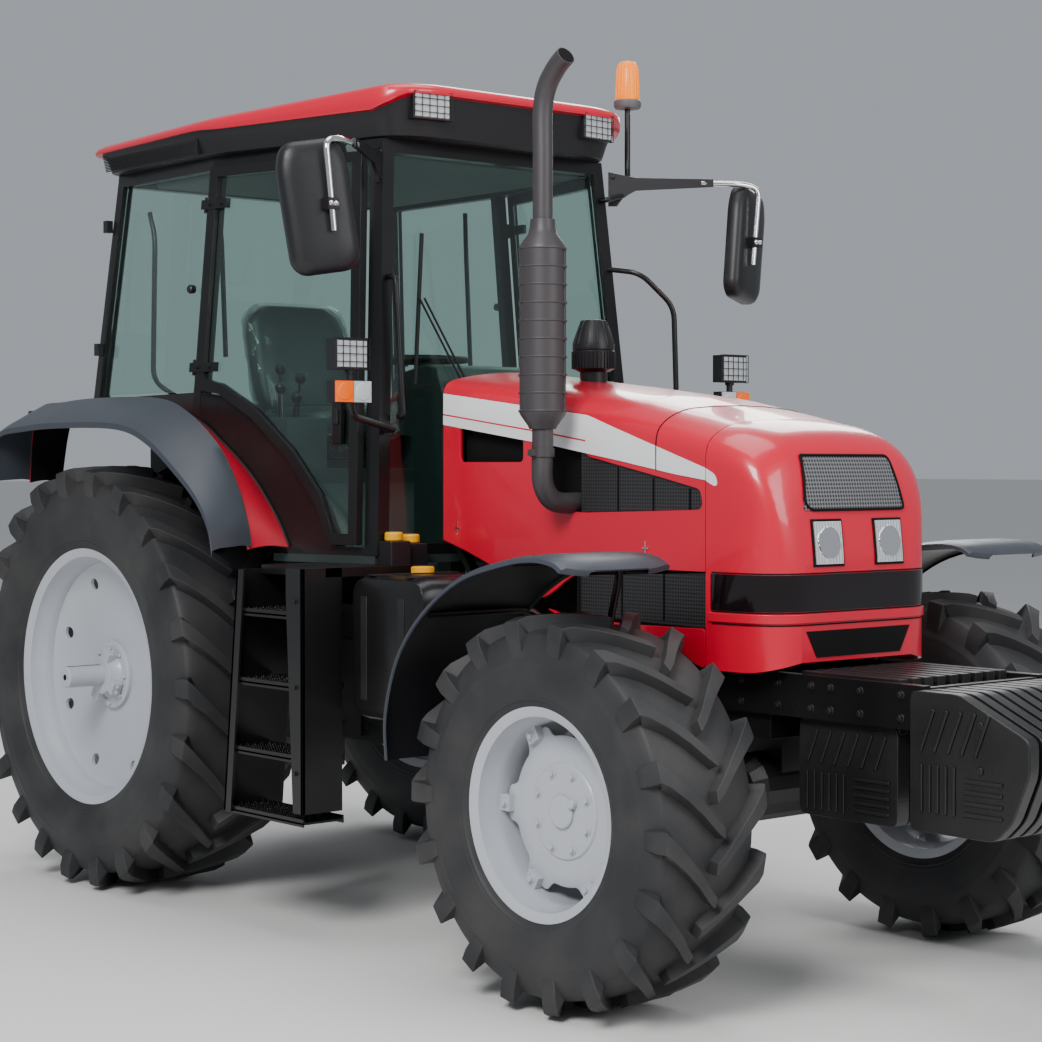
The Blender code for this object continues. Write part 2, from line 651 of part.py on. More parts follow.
def door_edge(rise=0.0):
    """Side view of the door's curved lower rear edge, from the bottom up to the centre pillar."""
    return [(1.205 + rise * 0.4, 1.383 + rise), (1.125 + rise * 0.6, 1.53 + rise * 0.8),
            (0.965 + rise * 0.6, 1.70 + rise * 0.8), (0.77 + rise * 0.4, 1.855 + rise * 0.9),
            (0.60, 1.945 + rise),
            (PILLAR_X + 0.030 + rise, 1.965 + rise)]


def plan(z, out, front, rear):
    """A level outline that follows both side walls, between a front and a rear x."""
    half = [(x, wall(x, z, out)) for x in (front, PILLAR_X, rear)]
    return [(x, y, z) for x, y in half] + [(x, -y, z) for x, y in reversed(half)]


def cab_frame():
    """Pillars, sills and the roof ring as one welded frame. EXACT loses pieces of these leaning walls."""
    def weld(other):
        join(body, other, solver="MANIFOLD")

    low, top = DOOR_TOP - 0.005, 2.870
    front, rear = A_TOP[0] + 0.030, C_TOP[0] - 0.024
    body = loft("cab_frame", [plan(low, FRAME_OUT, front + 0.003, rear), plan(top, FRAME_OUT, front, rear)])
    cut(body, loft("roof_opening", [plan(z, FRAME_IN, front - 0.06, rear + 0.05) for z in (low - 0.1,
                                                                                           top + 0.1)]),
        solver="MANIFOLD")
    bottom = FLOOR_Z - 0.030
    upright = ((PILLAR_X, 2.0), (PILLAR_X, 2.5))
    lines = ((0.030, A_LOW, A_TOP, bottom), (0.022, *upright, 1.845), (0.024, C_LOW, C_TOP, 1.86))
    for _, side in SIDES:
        for half_x, line_low, line_top, start in lines:
            ends = [(on_line(line_low, line_top, z), z) for z in (start, top - 0.01)]
            weld(post("pillar", *ends, half_x, side))
        lower = [(x - 0.018, z - 0.005) for x, z in wing_seam()[:5]]
        upper = [(x - 0.004, z - 0.008) for x, z in door_edge()]
        inner_end = PILLAR_X + 0.005
        front_low = [(A_LOW[0] + 0.01, FLOOR_Z), (A_LOW[0] + 0.01, bottom), (lower[0][0] + 0.01, bottom)]
        sill = front_low + lower + [(inner_end, 1.846), (inner_end, 1.955)] + upper[:-1][::-1]
        weld(wall_sheet("sill", sill, side, FRAME_IN + 0.002, FRAME_OUT - 0.002))
        ends = (PILLAR_X - 0.005, C_LOW[0] - 0.015)
        rear_sill = [(ends[0], 1.846), (ends[1], 1.866), (ends[1], 1.945), (ends[0], 1.955)]
        weld(wall_sheet("sill", rear_sill, side, FRAME_IN + 0.002, FRAME_OUT - 0.002))
    half = wall(C_LOW[0], 1.92, FRAME_OUT - 0.01)
    weld(box("rear_sill", (C_LOW[0] - 0.022, -half, 1.885), (C_LOW[0] + 0.022, half, 1.940)))
    half = wall(A_LOW[0], 1.37, FRAME_OUT - 0.01)
    weld(box("front_sill", (A_LOW[0] - 0.022, -half, bottom), (A_LOW[0] + 0.020, half, 1.385)))
    return body


def cab_floor():
    """Floor pan, seat platform over the axle and the cab's inner wheel-arch walls."""
    low, top = FLOOR_Z - 0.060, FLOOR_Z - 0.030 - GAP
    edge = FRAME_OUT - 0.002
    rings = []
    for z in (low, top):
        half = [(x, wall(x, z, edge)) for x in (A_LOW[0] + 0.02, 0.90)]
        rings.append([(x, y, z) for x, y in half] + [(x, -y, z) for x, y in reversed(half)])
    body = loft("cab_floor", rings)
    platform = [(-0.325, 1.80), (-0.325, 1.42), (-0.08, 1.27), (0.20, 1.26), (0.91, low), (0.95, low),
                (0.95, top),
                (0.62, 1.60), (0.62, 1.66), (-0.28, 1.66), (-0.28, 1.80)]
    join(body, prism("platform", platform, "y", -0.552, 0.552))
    for x, seat_z in ((-0.10, LIFT_COVER_TOP + GAP), (1.20, GEARBOX_TOP + GAP)):
        for y in (-0.15, 0.15):
            join(body, box("mount", (x - 0.04, y - 0.035, seat_z), (x + 0.04, y + 0.035, 1.33)))
    curve = wing_seam()[:5]
    arch = [(x - 0.030, z - 0.012) for x, z in curve]
    under = [(x - 0.046, z - 0.030) for x, z in curve]
    for _, side in SIDES:
        tail = [(0.10, 1.875), (-0.325, 1.875), (-0.325, 1.858), (0.10, 1.858)]
        for outline in (arch + [(PILLAR_X, 1.841), (PILLAR_X, 1.824)] + under[::-1],
                        [(PILLAR_X, 1.841)] + tail + [(PILLAR_X, 1.824)]):
            faces = [[(x, side * 0.545, z) for x, z in outline],
                     [(x, side * wall(x, z, FRAME_IN - GAP), z) for x, z in outline]]
            join(body, loft("arch", faces))
        side_wall = [(-0.325, 1.43), (-0.07, 1.28), (0.20, 1.27), (0.86, low + 0.003), (0.93, top - 0.006)]
        side_wall += arch[1:] + [(PILLAR_X, 1.836), (0.10, 1.870), (-0.325, 1.870)]
        low_y, high_y = sorted((side * 0.538, side * 0.556))
        join(body, prism("side_wall", side_wall, "y", low_y, high_y))
    return body


def door(label, side):
    """Frame of the door, hinged at the centre pillar; the pane lies inside it."""
    rear = PILLAR_X + 0.030
    front = [(on_line(A_LOW, A_TOP, z) - 0.035, z) for z in (DOOR_TOP, FLOOR_Z + 0.008)]
    outline = [(rear, DOOR_TOP)] + front + door_edge()
    inner = [(rear + 0.038, DOOR_TOP - 0.040), (front[0][0] - 0.042, DOOR_TOP - 0.040),
             (front[1][0] - 0.041, FLOOR_Z + 0.050)] + door_edge(0.040)
    body = wall_sheet(f"door_{label}", outline, side, -0.018, 0.012)
    cut(body, wall_sheet("opening", inner, side, -0.2, 0.2))
    for z in HINGE_Z:
        ends = [(PILLAR_X, side * wall(PILLAR_X, level, HINGE_OUT), level) for level in (z - 0.03, z + 0.03)]
        join(body, tube("barrel", ends, 0.0135, 16))
        tip = PILLAR_X + 0.13
        strap = [(PILLAR_X, z - 0.018), (tip, z - 0.018), (tip, z + 0.018), (PILLAR_X, z + 0.018)]
        join(body, wall_sheet("strap", strap, side, -0.003, 0.018))
    return body, wall_sheet(f"door_glass_{label}", inset(inner, 0.0006), side, -0.010, -0.004)


def quarter_window(label, side):
    low, top = 1.960, DOOR_TOP - 0.008
    rear = [(on_line(C_LOW, C_TOP, z) + 0.0243, z) for z in (low, top)]
    front = PILLAR_X - 0.0223
    outline = [rear[1], (front, top), (front, low), rear[0]]
    return wall_sheet(f"quarter_window_{label}", outline, side, FRAME_OUT - 0.028, FRAME_OUT - 0.020)


def pane(name, line_low, line_top, levels):
    """Flat glass between the two pillars of one end of the cab."""
    rings = []
    for z in levels:
        x = on_line(line_low, line_top, z)
        half = wall(x, z, FRAME_IN - 0.0015)
        rings.append([(x - 0.004, -half, z), (x + 0.004, -half, z), (x + 0.004, half, z),
                      (x - 0.004, half, z)])
    return loft(name, rings)


def windscreen():
    return pane("windscreen", A_LOW, A_TOP, (1.3853, DOOR_TOP - 0.0053))


def rear_window():
    return pane("rear_window", C_LOW, C_TOP, (1.9403, DOOR_TOP - 0.0053))


def roof_ring(z, tuck, tilt):
    """A level or tilted outline of the roof, tucked in from the cap's rim."""
    half = [(1.430, 0.450), (1.370, 0.585), (PILLAR_X, 0.815), (-0.330, 0.820), (-0.400, 0.740)]
    outline = inset(half + [(x, -y) for x, y in reversed(half)], tuck)
    return [(x, y, z + tilt * (x - PILLAR_X)) for x, y in outline]


def roof():
    """Dark visor band and the cap above it, both a little higher at the front."""
    seam = 2.997
    base = loft("roof_base", [roof_ring(2.870 + GAP, 0.070, 0.0), roof_ring(seam - GAP, 0.020, 0.024)])
    cap = loft("roof_cap", [roof_ring(seam, 0.0, 0.024), roof_ring(seam + 0.026, 0.0, 0.024),
                            roof_ring(seam + 0.046, 0.070, 0.008), roof_ring(ROOF_TOP, 0.250, 0.0)])
    return base, cap


def seat():
    body = box("seat", (-0.02, -0.24, 1.78), (0.46, 0.24, 1.92))
    back = prism("back", [(0.08, 1.85), (-0.06, 2.45), (-0.16, 2.45), (-0.04, 1.85)], "y", -0.24, 0.24)
    foot = box("foot", (0.02, -0.16, 1.66 + GAP), (0.38, 0.16, 1.80))
    return join(body, back, foot)


def steering():
    """Dashboard column with the steering wheel above it."""
    body = box("steering_column", (1.02, -0.20, FLOOR_Z - 0.03), (1.31, 0.20, 1.86))
    outline = [(0.93, 1.86), (0.97, 2.02), (1.24, 2.05), (1.31, 1.86), (1.31, 1.80), (0.93, 1.80)]
    join(body, prism("dash", outline, "y", -0.26, 0.26))
    join(body, tube("shaft", [(0.99, 0, 1.96), (0.81, 0, 2.09)], 0.02, 8))
    spoke = box("spoke", (0.795, -0.185, 2.083), (0.825, 0.185, 2.098))
    profile = [(-0.012, 0.168), (-0.012, 0.196), (0.012, 0.196), (0.012, 0.168)]
    return join(body, spoke, hoop("wheel_ring", (0.81, 0, 2.09), "z", profile, 20))


# ---- outer fittings ----
def pillar_front(side, z, reach):
    """A point just ahead of the middle of an A pillar's front face."""
    x = on_line(A_LOW, A_TOP, z) + 0.030
    return (x + reach, side * wall(x, z, (FRAME_OUT + FRAME_IN) / 2), z)


def mirror(label, side):
    """Bracket and head of a rear-view mirror on the A pillar; the head turns a little outwards."""
    level = 2.79
    path = [pillar_front(side, level, 0.0013), pillar_front(side, level, 0.045), (1.600, side * 0.945, level),
            (1.655, side * 1.010, level - 0.02), (1.655, side * 1.010, 2.54)]
    body = tube(f"mirror_{label}", bent(path, 0.04), 0.012, 8)
    turn = Matrix.Rotation(side * math.radians(20), 4, "Z")
    place = Matrix.Translation((1.591, side * 1.033, 2.554))
    outline = [(-0.085, -0.228), (0.085, -0.228), (0.118, -0.190), (0.125, 0.150), (0.085, 0.228),
               (-0.085, 0.228),
               (-0.125, 0.190), (-0.118, -0.190)]
    rings = [[place @ turn @ Vector((x, y, z)) for y, z in inset(outline, tuck)]
             for x, tuck in ((-0.030, 0.0), (0.008, 0.0), (0.034, 0.020))]
    head = loft("head", rings)
    clamp = box("clamp", (1.600, side * 1.010 - 0.020, 2.535), (1.665, side * 1.010 + 0.020, 2.575))
    return join(body, head, clamp)


def lamp_bracket(label, side):
    """Turn signal and work lamp on an arm from the A pillar."""
    level = 1.80
    path = [pillar_front(side, level, 0.0013), pillar_front(side, level, 0.06), (1.60, side * 0.90, 1.84),
            (1.617, side * 0.930, 1.90), (1.617, side * 0.930, 2.03)]
    body = tube(f"lamp_bracket_{label}", bent(path, 0.03), 0.012, 8)
    low, high = sorted((side * 0.860, side * 1.012))
    signal = box("signal", (1.595, low, 1.885), (1.655, high, 1.966))
    lamp = box("lamp", (1.585, low + 0.006, 1.998), (1.650, high - 0.006, 2.112))
    return join(body, signal, lamp)


def beacon():
    """Flashing lamp on a pole from the left A pillar."""
    x, y, foot = 1.300, 0.670, 3.095
    root = [pillar_front(1, 2.72, 0.0013), pillar_front(1, 2.72, 0.035)]
    path = root + [(1.335, 0.640, 2.75), (x, y, 2.86), (x, y, foot + 0.01)]
    body = tube("beacon", bent(path, 0.03), 0.012, 8)
    base = rod("base", (x, y, 0), "z", [(foot, 0.050), (foot + 0.035, 0.055)], 16)
    lens = rod("lens", (x, y, 0), "z", [(foot + 0.03, 0.048), (foot + 0.155, 0.043), (foot + 0.19, 0.030)],
               16)
    return join(body, base, lens)


def clear_scene():
    for obj in list(bpy.data.objects):
        bpy.data.objects.remove(obj)


# ---- finish ----
PAINTS = {
    "red": ((0.62, 0.02, 0.03), 0.25, 0.0),
    "rubber": ((0.03, 0.03, 0.032), 0.85, 0.0),
    "rim_grey": ((0.55, 0.56, 0.57), 0.45, 0.0),
    "black": ((0.02, 0.02, 0.022), 0.45, 0.0),
    "iron": ((0.03, 0.03, 0.032), 0.55, 0.2),
    "plastic": ((0.07, 0.08, 0.085), 0.6, 0.0),
    "glass": ((0.25, 0.33, 0.30), 0.05, 0.0),
    "amber": ((0.95, 0.42, 0.02), 0.2, 0.0),
}
PAINT_OF = {
    "tyre": "rubber", "rim": "rim_grey", "hood": "red", "nose": "red", "side_panel": "red",
    "rear_fender": "red",
    "roof_cap": "red", "front_fender": "plastic", "door_glass": "glass",
    "windscreen": "glass", "rear_window": "glass", "quarter_window": "glass", "beacon": "amber",
    "seat": "plastic",
    "steering_column": "plastic", "mirror": "plastic", "roof_base": "plastic", "cab_frame": "black",
    "door": "black",
    "steps": "black", "fuel_tank": "plastic", "left_tank": "plastic", "air_precleaner": "plastic",
}


def paint(obj):
    """Gives the object the paint of the longest matching name in the table."""
    known = [key for key in PAINT_OF if obj.name.startswith(key)]
    key = PAINT_OF[max(known, key=len)] if known else "iron"
    material = bpy.data.materials.get(key)
    if material is None:
        colour, roughness, metallic = PAINTS[key]
        material = bpy.data.materials.new(key)
        material.use_nodes = True
        shader = material.node_tree.nodes["Principled BSDF"]
        shader.inputs["Base Color"].default_value = (*colour, 1.0)
        shader.inputs["Roughness"].default_value = roughness
        shader.inputs["Metallic"].default_value = metallic
    obj.data.materials.clear()
    obj.data.materials.append(material)


def joint_origins():
    """The point on its joint's axis for each moving piece, in the vehicle frame."""
    origins = {"hood_top": HOOD_HINGE, "nose": HOOD_HINGE, "air_precleaner": HOOD_HINGE}
    origins["tie_rod"] = (WHEELBASE - STEER_ARM, -KINGPIN_Y, FRONT_TYRE_R - 0.092)
    origins["lift_arms"] = (LIFT_PIVOT[0], 0, LIFT_PIVOT[1])
    for label, side in SIDES:
        origins[f"tyre_rear_{label}"] = origins[f"rim_rear_{label}"] = (0, side * REAR_WHEEL_Y, REAR_TYRE_R)
        origins[f"tyre_front_{label}"] = (WHEELBASE, side * FRONT_WHEEL_Y, FRONT_TYRE_R)
        origins[f"rim_front_{label}"] = (WHEELBASE, side * FRONT_WHEEL_Y, FRONT_TYRE_R)
        origins[f"knuckle_{label}"] = (WHEELBASE, side * KINGPIN_Y, FRONT_TYRE_R)
        origins[f"front_fender_{label}"] = (WHEELBASE, side * KINGPIN_Y, FRONT_TYRE_R)
        origins[f"lower_link_{label}"] = (LINK_PIVOT[0], side * LINK_Y, LINK_PIVOT[1])
        origins[f"lift_rod_{label}"] = (LIFT_PIVOT[0] + LIFT_ARM[0], side * LINK_Y,
                                        LIFT_PIVOT[1] + LIFT_ARM[1])
        hinge = (PILLAR_X, side * wall(PILLAR_X, WALL_LEVEL, HINGE_OUT), WALL_LEVEL)
        origins[f"door_{label}"] = origins[f"door_glass_{label}"] = hinge
    return origins


def merge_flat_faces(mesh):
    """Drops the edges that a Boolean leaves across a flat face."""
    work = bmesh.new()
    work.from_mesh(mesh)
    bmesh.ops.dissolve_limit(work, angle_limit=0.0005, verts=work.verts, edges=work.edges)
    work.to_mesh(mesh)
    work.free()


def finish():
    """Paints and shades every piece, sets the origins and moves all to the object's own frame."""
    shift = Vector((-(FRONT_END + REAR_END) / 2, 0, 0))
    origins = joint_origins()
    for obj in bpy.data.objects:
        paint(obj)
        merge_flat_faces(obj.data)
        origin = Vector(origins.get(obj.name, (0, 0, 0)))
        obj.data.transform(Matrix.Translation(-origin))
        obj.location = origin + shift
        obj.data.shade_smooth()
        obj.data.set_sharp_from_angle(angle=math.radians(30))


def build():
    clear_scene()
    for label, side in SIDES:
        wheel("rear", label, side)
        wheel("front", label, side)
        knuckle(label, side)
        front_fender(label, side)
        linkage(label, side)
        side_panel(label, side)
        steps(label, side)
        rear_fender(label, side)
        door(label, side)
        quarter_window(label, side)
        mirror(label, side)
        lamp_bracket(label, side)
    rear_axle()
    gearbox()
    engine()
    front_frame()
    ballast()
    front_axle()
    tie_rod()
    lift_arms()
    rear_fittings()
    hood_frame()
    hood()
    nose()
    exhaust()
    precleaner()
    fuel_tank()
    left_tank()
    cab_frame()
    cab_floor()
    windscreen()
    rear_window()
    roof()
    seat()
    steering()
    beacon()
    finish()


build()
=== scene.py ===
"""The farm tractor's looks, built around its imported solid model.

Lengths are in metres. Pieces are drawn in the vehicle frame (X forward from the rear axle, Y to the
left, Z up) and moved into the object's frame when they are made.
"""
import math
import random

import bmesh
import bpy
from mathutils import Matrix, Vector
from mathutils.bvhtree import BVHTree


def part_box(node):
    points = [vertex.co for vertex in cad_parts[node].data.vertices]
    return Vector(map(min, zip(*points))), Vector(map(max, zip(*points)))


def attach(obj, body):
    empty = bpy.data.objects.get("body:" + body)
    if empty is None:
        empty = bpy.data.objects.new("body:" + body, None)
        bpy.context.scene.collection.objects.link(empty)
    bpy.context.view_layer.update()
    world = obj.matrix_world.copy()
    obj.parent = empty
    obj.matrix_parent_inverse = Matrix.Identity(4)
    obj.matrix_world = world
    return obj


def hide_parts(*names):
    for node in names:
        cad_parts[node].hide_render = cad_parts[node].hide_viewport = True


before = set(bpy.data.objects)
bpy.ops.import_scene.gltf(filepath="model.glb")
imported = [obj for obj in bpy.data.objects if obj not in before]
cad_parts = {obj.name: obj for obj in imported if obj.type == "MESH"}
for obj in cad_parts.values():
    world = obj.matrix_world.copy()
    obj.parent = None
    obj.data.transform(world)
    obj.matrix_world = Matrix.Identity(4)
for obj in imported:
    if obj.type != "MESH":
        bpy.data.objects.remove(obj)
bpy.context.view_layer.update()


def middle(node):
    """The middle of a node's box."""
    low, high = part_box(node)
    return (low + high) / 2


# wheels, read from the frame
REAR = middle("tyre_rear_left")
FRONT = middle("tyre_front_left")
SHIFT = REAR.x
WHEELBASE = FRONT.x - REAR.x
REAR_R, REAR_Y = REAR.z, REAR.y
FRONT_R, FRONT_Y = FRONT.z, FRONT.y
KINGPIN_Y = middle("knuckle_left").y - 0.05

# bodywork: half width and rear edge of the hood, the seam ahead of which the nose starts, the centre pillar
HOOD_HALF = 0.405
HOOD_REAR = 1.470
SEAM_X = WHEELBASE + 0.06
FRONT_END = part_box("ballast_front")[1].x - SHIFT
PILLAR_X = 0.4445
SIDES = (("right", -1), ("left", 1))


# ---- shapes ----
def spline(points, steps):
    """A smooth line through the points, as lists of equal length."""
    points = [Vector(p) for p in points]
    line = []
    for i in range(len(points) - 1):
        p0 = points[max(i - 1, 0)]
        p1, p2 = points[i], points[i + 1]
        p3 = points[min(i + 2, len(points) - 1)]
        for k in range(steps):
            t = k / steps
            line.append(0.5 * (2 * p1 + (p2 - p0) * t + (2 * p0 - 5 * p1 + 4 * p2 - p3) * t ** 2
                               + (3 * p1 - p0 - 3 * p2 + p3) * t ** 3))
    line.append(points[-1])
    return line


def rounded(outline, radius, steps=4, closed=True):
    """The outline with its corners rounded."""
    points = [Vector(p) for p in outline]
    size = len(points)
    line = []
    for i, here in enumerate(points):
        if not closed and i in (0, size - 1):
            line.append(here)
            continue
        before, after = points[i - 1], points[(i + 1) % size]
        reach = min(radius, (before - here).length * 0.48, (after - here).length * 0.48)
        a = (before - here).normalized() * reach
        b = (after - here).normalized() * reach
        line += [here + a * (1 - k / steps) ** 2 + b * (k / steps) ** 2 for k in range(steps + 1)]
    return line


def between(rows, x):
    """The row of values at x, read from rows sorted by their first value."""
    for low, high in zip(rows, rows[1:]):
        if x <= high[0]:
            break
    t = (x - low[0]) / (high[0] - low[0])
    return [a + (b - a) * t for a, b in zip(low[1:], high[1:])]


def flat_round(outline, radius, steps=4, closed=True):
    """An outline of pairs with its corners rounded."""
    line = rounded([Vector((*p, 0)) for p in outline], radius, steps, closed)
    return [(p.x, p.y) for p in line]


def span(side, a, b):
    """Two distances from the middle, as low and high Y on one side."""
    return sorted((side * a, side * b))


def turns(count, start=0.0):
    """Even angles round a full turn."""
    return [math.tau * (k + start) / count for k in range(count)]


def spot(centre, angle, radius, out):
    """A place on a circle round a wheel's axle."""
    return centre + Vector((math.cos(angle) * radius, out, math.sin(angle) * radius))


def post_spot(x, y, z, angle, radius):
    """A place on a circle round an upright."""
    return Vector((x + math.cos(angle) * radius, y + math.sin(angle) * radius, z))


def turned(place, angle):
    """A placing matrix turned about Z."""
    return Matrix.Translation(place) @ Matrix.Rotation(angle, 4, "Z")


class Shape:
    """Faces gathered for one piece, each with the number of its material."""

    def __init__(self):
        self.points = []
        self.faces = []
        self.paint = []

    def add(self, points, faces, paint=0):
        """Adds faces on new points, or, without new points, on the ones that are there."""
        start = len(self.points)
        self.points += [Vector(p) for p in points]
        self.faces += [[start + k for k in face] for face in faces] if points else faces
        self.paint += [paint] * len(faces)

    def loft(self, rings, paint=0, ends=True, closed=True):
        """A skin over rings of as many points each."""
        size = len(rings[0])
        faces = []
        for row in range(len(rings) - 1):
            for k in range(size if closed else size - 1):
                a, b = row * size + k, row * size + (k + 1) % size
                faces.append([a, b, b + size, a + size])
        if ends:
            faces.append(list(range(size))[::-1])
            faces.append(list(range((len(rings) - 1) * size, len(rings) * size)))
        self.add([p for ring in rings for p in ring], faces, paint)

    def box(self, low, high, paint=0):
        """A box between two corners."""
        rings = [[(low[0], low[1], z), (high[0], low[1], z), (high[0], high[1], z), (low[0], high[1], z)]
                 for z in (low[2], high[2])]
        self.loft(rings, paint)

    def block(self, place, size, paint=0):
        """A box of a size about a placing matrix."""
        x, y, z = (s / 2 for s in size)
        rings = [[place @ Vector(p) for p in ((-x, -y, h), (x, -y, h), (x, y, h), (-x, y, h))]
                 for h in (-z, z)]
        self.loft(rings, paint)

    def plate(self, outline, low, high, paint=0):
        """An outline of (x, z) pairs drawn across from one Y to another."""
        self.loft([[(x, y, z) for x, z in outline] for y in (low, high)], paint)

    def lathe(self, centre, axis, profile, steps=32, paint=0, closed=False):
        """A turned form: the profile is (along, radius) pairs along the axis from the centre."""
        axis = Vector(axis).normalized()
        side = axis.orthogonal().normalized()
        across = axis.cross(side)
        rings = []
        for along, radius in profile:
            ring = []
            for angle in turns(steps):
                spoke = side * math.cos(angle) + across * math.sin(angle)
                ring.append(Vector(centre) + axis * along + spoke * radius)
            rings.append(ring)
        if closed:
            rings.append(rings[0])
        self.loft(rings, paint, ends=not closed)

    def rod(self, a, b, radius, steps=16, paint=0, chamfer=0.0):
        """A round bar between two points."""
        a, b = Vector(a), Vector(b)
        length = (b - a).length
        profile = [(0, radius), (length, radius)]
        if chamfer:
            profile = [(0, radius - chamfer), (chamfer, radius), (length - chamfer, radius),
                       (length, radius - chamfer)]
        self.lathe(a, b - a, profile, steps, paint)

    def tube(self, path, radius, steps=12, paint=0):
        """A round section carried along a path without twist."""
        path = [Vector(p) for p in path]
        side = (path[1] - path[0]).normalized().orthogonal().normalized()
        rings = []
        for i, here in enumerate(path):
            ahead = path[min(i + 1, len(path) - 1)] - path[max(i - 1, 0)]
            ahead.normalize()
            side = (side - ahead * side.dot(ahead)).normalized()
            across = ahead.cross(side)
            rings.append([here + (side * math.cos(angle) + across * math.sin(angle)) * radius
                          for angle in turns(steps)])
        self.loft(rings, paint)

    def pipe(self, points, radius, bend=0.05, steps=12, paint=0):
        """A round bar through the points with rounded corners."""
        self.tube(rounded(points, bend, 5, closed=False), radius, steps, paint)

    def bolt(self, place, axis, size, paint=0):
        """A hexagon head on a washer, standing on a face."""
        self.lathe(place, axis, [(-0.002, size), (size * 0.16, size), (size * 0.2, size * 0.92)], 16, paint)
        head = [(size * 0.1, size * 0.68), (size * 0.78, size * 0.68), (size * 0.9, size * 0.58)]
        self.lathe(place, axis, head, 6, paint)

    def sheet(self, grid, thick, paint=0):
        """A skin through a grid of points, with its thickness behind the side it faces."""
        rows, columns = len(grid), len(grid[0])
        grid = [[Vector(p) for p in row] for row in grid]
        back = []
        for i in range(rows):
            line = []
            for j in range(columns):
                u = grid[min(i + 1, rows - 1)][j] - grid[max(i - 1, 0)][j]
                v = grid[i][min(j + 1, columns - 1)] - grid[i][max(j - 1, 0)]
                line.append(grid[i][j] - u.cross(v).normalized() * thick)
            back.append(line)
        points = [p for row in grid for p in row] + [p for row in back for p in row]
        size = rows * columns
        faces = []
        for i in range(rows - 1):
            for j in range(columns - 1):
                a = i * columns + j
                face = [a, a + columns, a + columns + 1, a + 1]
                faces.append(face)
                faces.append([k + size for k in reversed(face)])
        edge = [i * columns for i in range(rows)] + [(rows - 1) * columns + j for j in range(1, columns)]
        edge += [i * columns + columns - 1 for i in range(rows - 2, -1, -1)] + list(range(columns - 2, 0, -1))
        for a, b in zip(edge, edge[1:] + edge[:1]):
            faces.append([b, a, a + size, b + size])
        self.add(points, faces, paint)

    def mesh(self, name):
        """The mesh, with all faces turned outwards."""
        data = bpy.data.meshes.new(name)
        data.from_pydata([tuple(p) for p in self.points], [], self.faces)
        data.polygons.foreach_set("material_index", self.paint)
        data.validate()
        form = bmesh.new()
        form.from_mesh(data)
        bmesh.ops.recalc_face_normals(form, faces=form.faces)
        form.to_mesh(data)
        form.free()
        data.shade_smooth()
        return data

    def make(self, name, body, paints, bevel=0.0, angle=35, segments=2, replaces=()):
        """Turns the shape into a piece that rides on a body."""
        data = self.mesh(name)
        data.transform(Matrix.Translation((SHIFT, 0, 0)))
        for paint in paints:
            data.materials.append(MATERIALS[paint])
        data.set_sharp_from_angle(angle=math.radians(angle))
        piece = bpy.data.objects.new(name, data)
        bpy.context.scene.collection.objects.link(piece)
        if bevel:
            soften(piece, bevel, segments)
        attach(piece, body)
        if replaces:
            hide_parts(*replaces)
        return piece


def soften(piece, width, segments=2):
    """Small rounded edges with clean shading."""
    bevel = piece.modifiers.new("edges", "BEVEL")
    bevel.width = width
    bevel.segments = segments
    bevel.limit_method = "ANGLE"
    bevel.angle_limit = math.radians(38)
    bevel.harden_normals = True


def carve(piece, cutters):
    """Cuts the shapes out of a piece before it is shown."""
    tool = bpy.data.objects.new("cutter", cutters.mesh("cutter"))
    tool.data.transform(Matrix.Translation((SHIFT, 0, 0)))
    bpy.context.scene.collection.objects.link(tool)
    cut = piece.modifiers.new("cut", "BOOLEAN")
    cut.operation = "DIFFERENCE"
    cut.solver = "EXACT"
    cut.object = tool
    bpy.context.view_layer.update()
    graph = bpy.context.evaluated_depsgraph_get()
    result = bpy.data.meshes.new_from_object(piece.evaluated_get(graph))
    piece.modifiers.remove(cut)
    piece.data = result
    piece.data.shade_smooth()
    piece.data.set_sharp_from_angle(angle=math.radians(30))
    bpy.data.objects.remove(tool)


# ---- finishes ----
def group(name, inputs, outputs):
    """An empty node group, with its inner ends."""
    tree = bpy.data.node_groups.new(name, "ShaderNodeTree")
    for label, kind, value in inputs:
        socket = tree.interface.new_socket(name=label, in_out="INPUT", socket_type=kind)
        socket.default_value = value
    for label, kind in outputs:
        tree.interface.new_socket(name=label, in_out="OUTPUT", socket_type=kind)
    start = tree.nodes.new("NodeGroupInput")
    end = tree.nodes.new("NodeGroupOutput")
    return tree, start.outputs, end.inputs


def feed(tree, socket, value):
    """Sets a socket, or links it to another one."""
    if isinstance(value, bpy.types.NodeSocket):
        tree.links.new(value, socket)
    else:
        socket.default_value = value


def noise(tree, place, scale, detail=2.0):
    """Cloudy noise of a scale given as a number or a socket."""
    node = tree.nodes.new("ShaderNodeTexNoise")
    node.inputs["Detail"].default_value = detail
    tree.links.new(place, node.inputs["Vector"])
    feed(tree, node.inputs["Scale"], scale)
    return node.outputs["Fac"]


def sum_node(tree, operation, *values):
    """A Math node fed with numbers or sockets."""
    node = tree.nodes.new("ShaderNodeMath")
    node.operation = operation
    for socket, value in zip(node.inputs, values):
        feed(tree, socket, value)
    return node.outputs[0]


def mixed_colour(tree, share, first, second):
    """A colour between two, by a share."""
    node = tree.nodes.new("ShaderNodeMix")
    node.data_type = "RGBA"
    for socket, value in ((node.inputs["Factor"], share), (node.inputs[6], first), (node.inputs[7], second)):
        feed(tree, socket, value)
    return node.outputs[2]


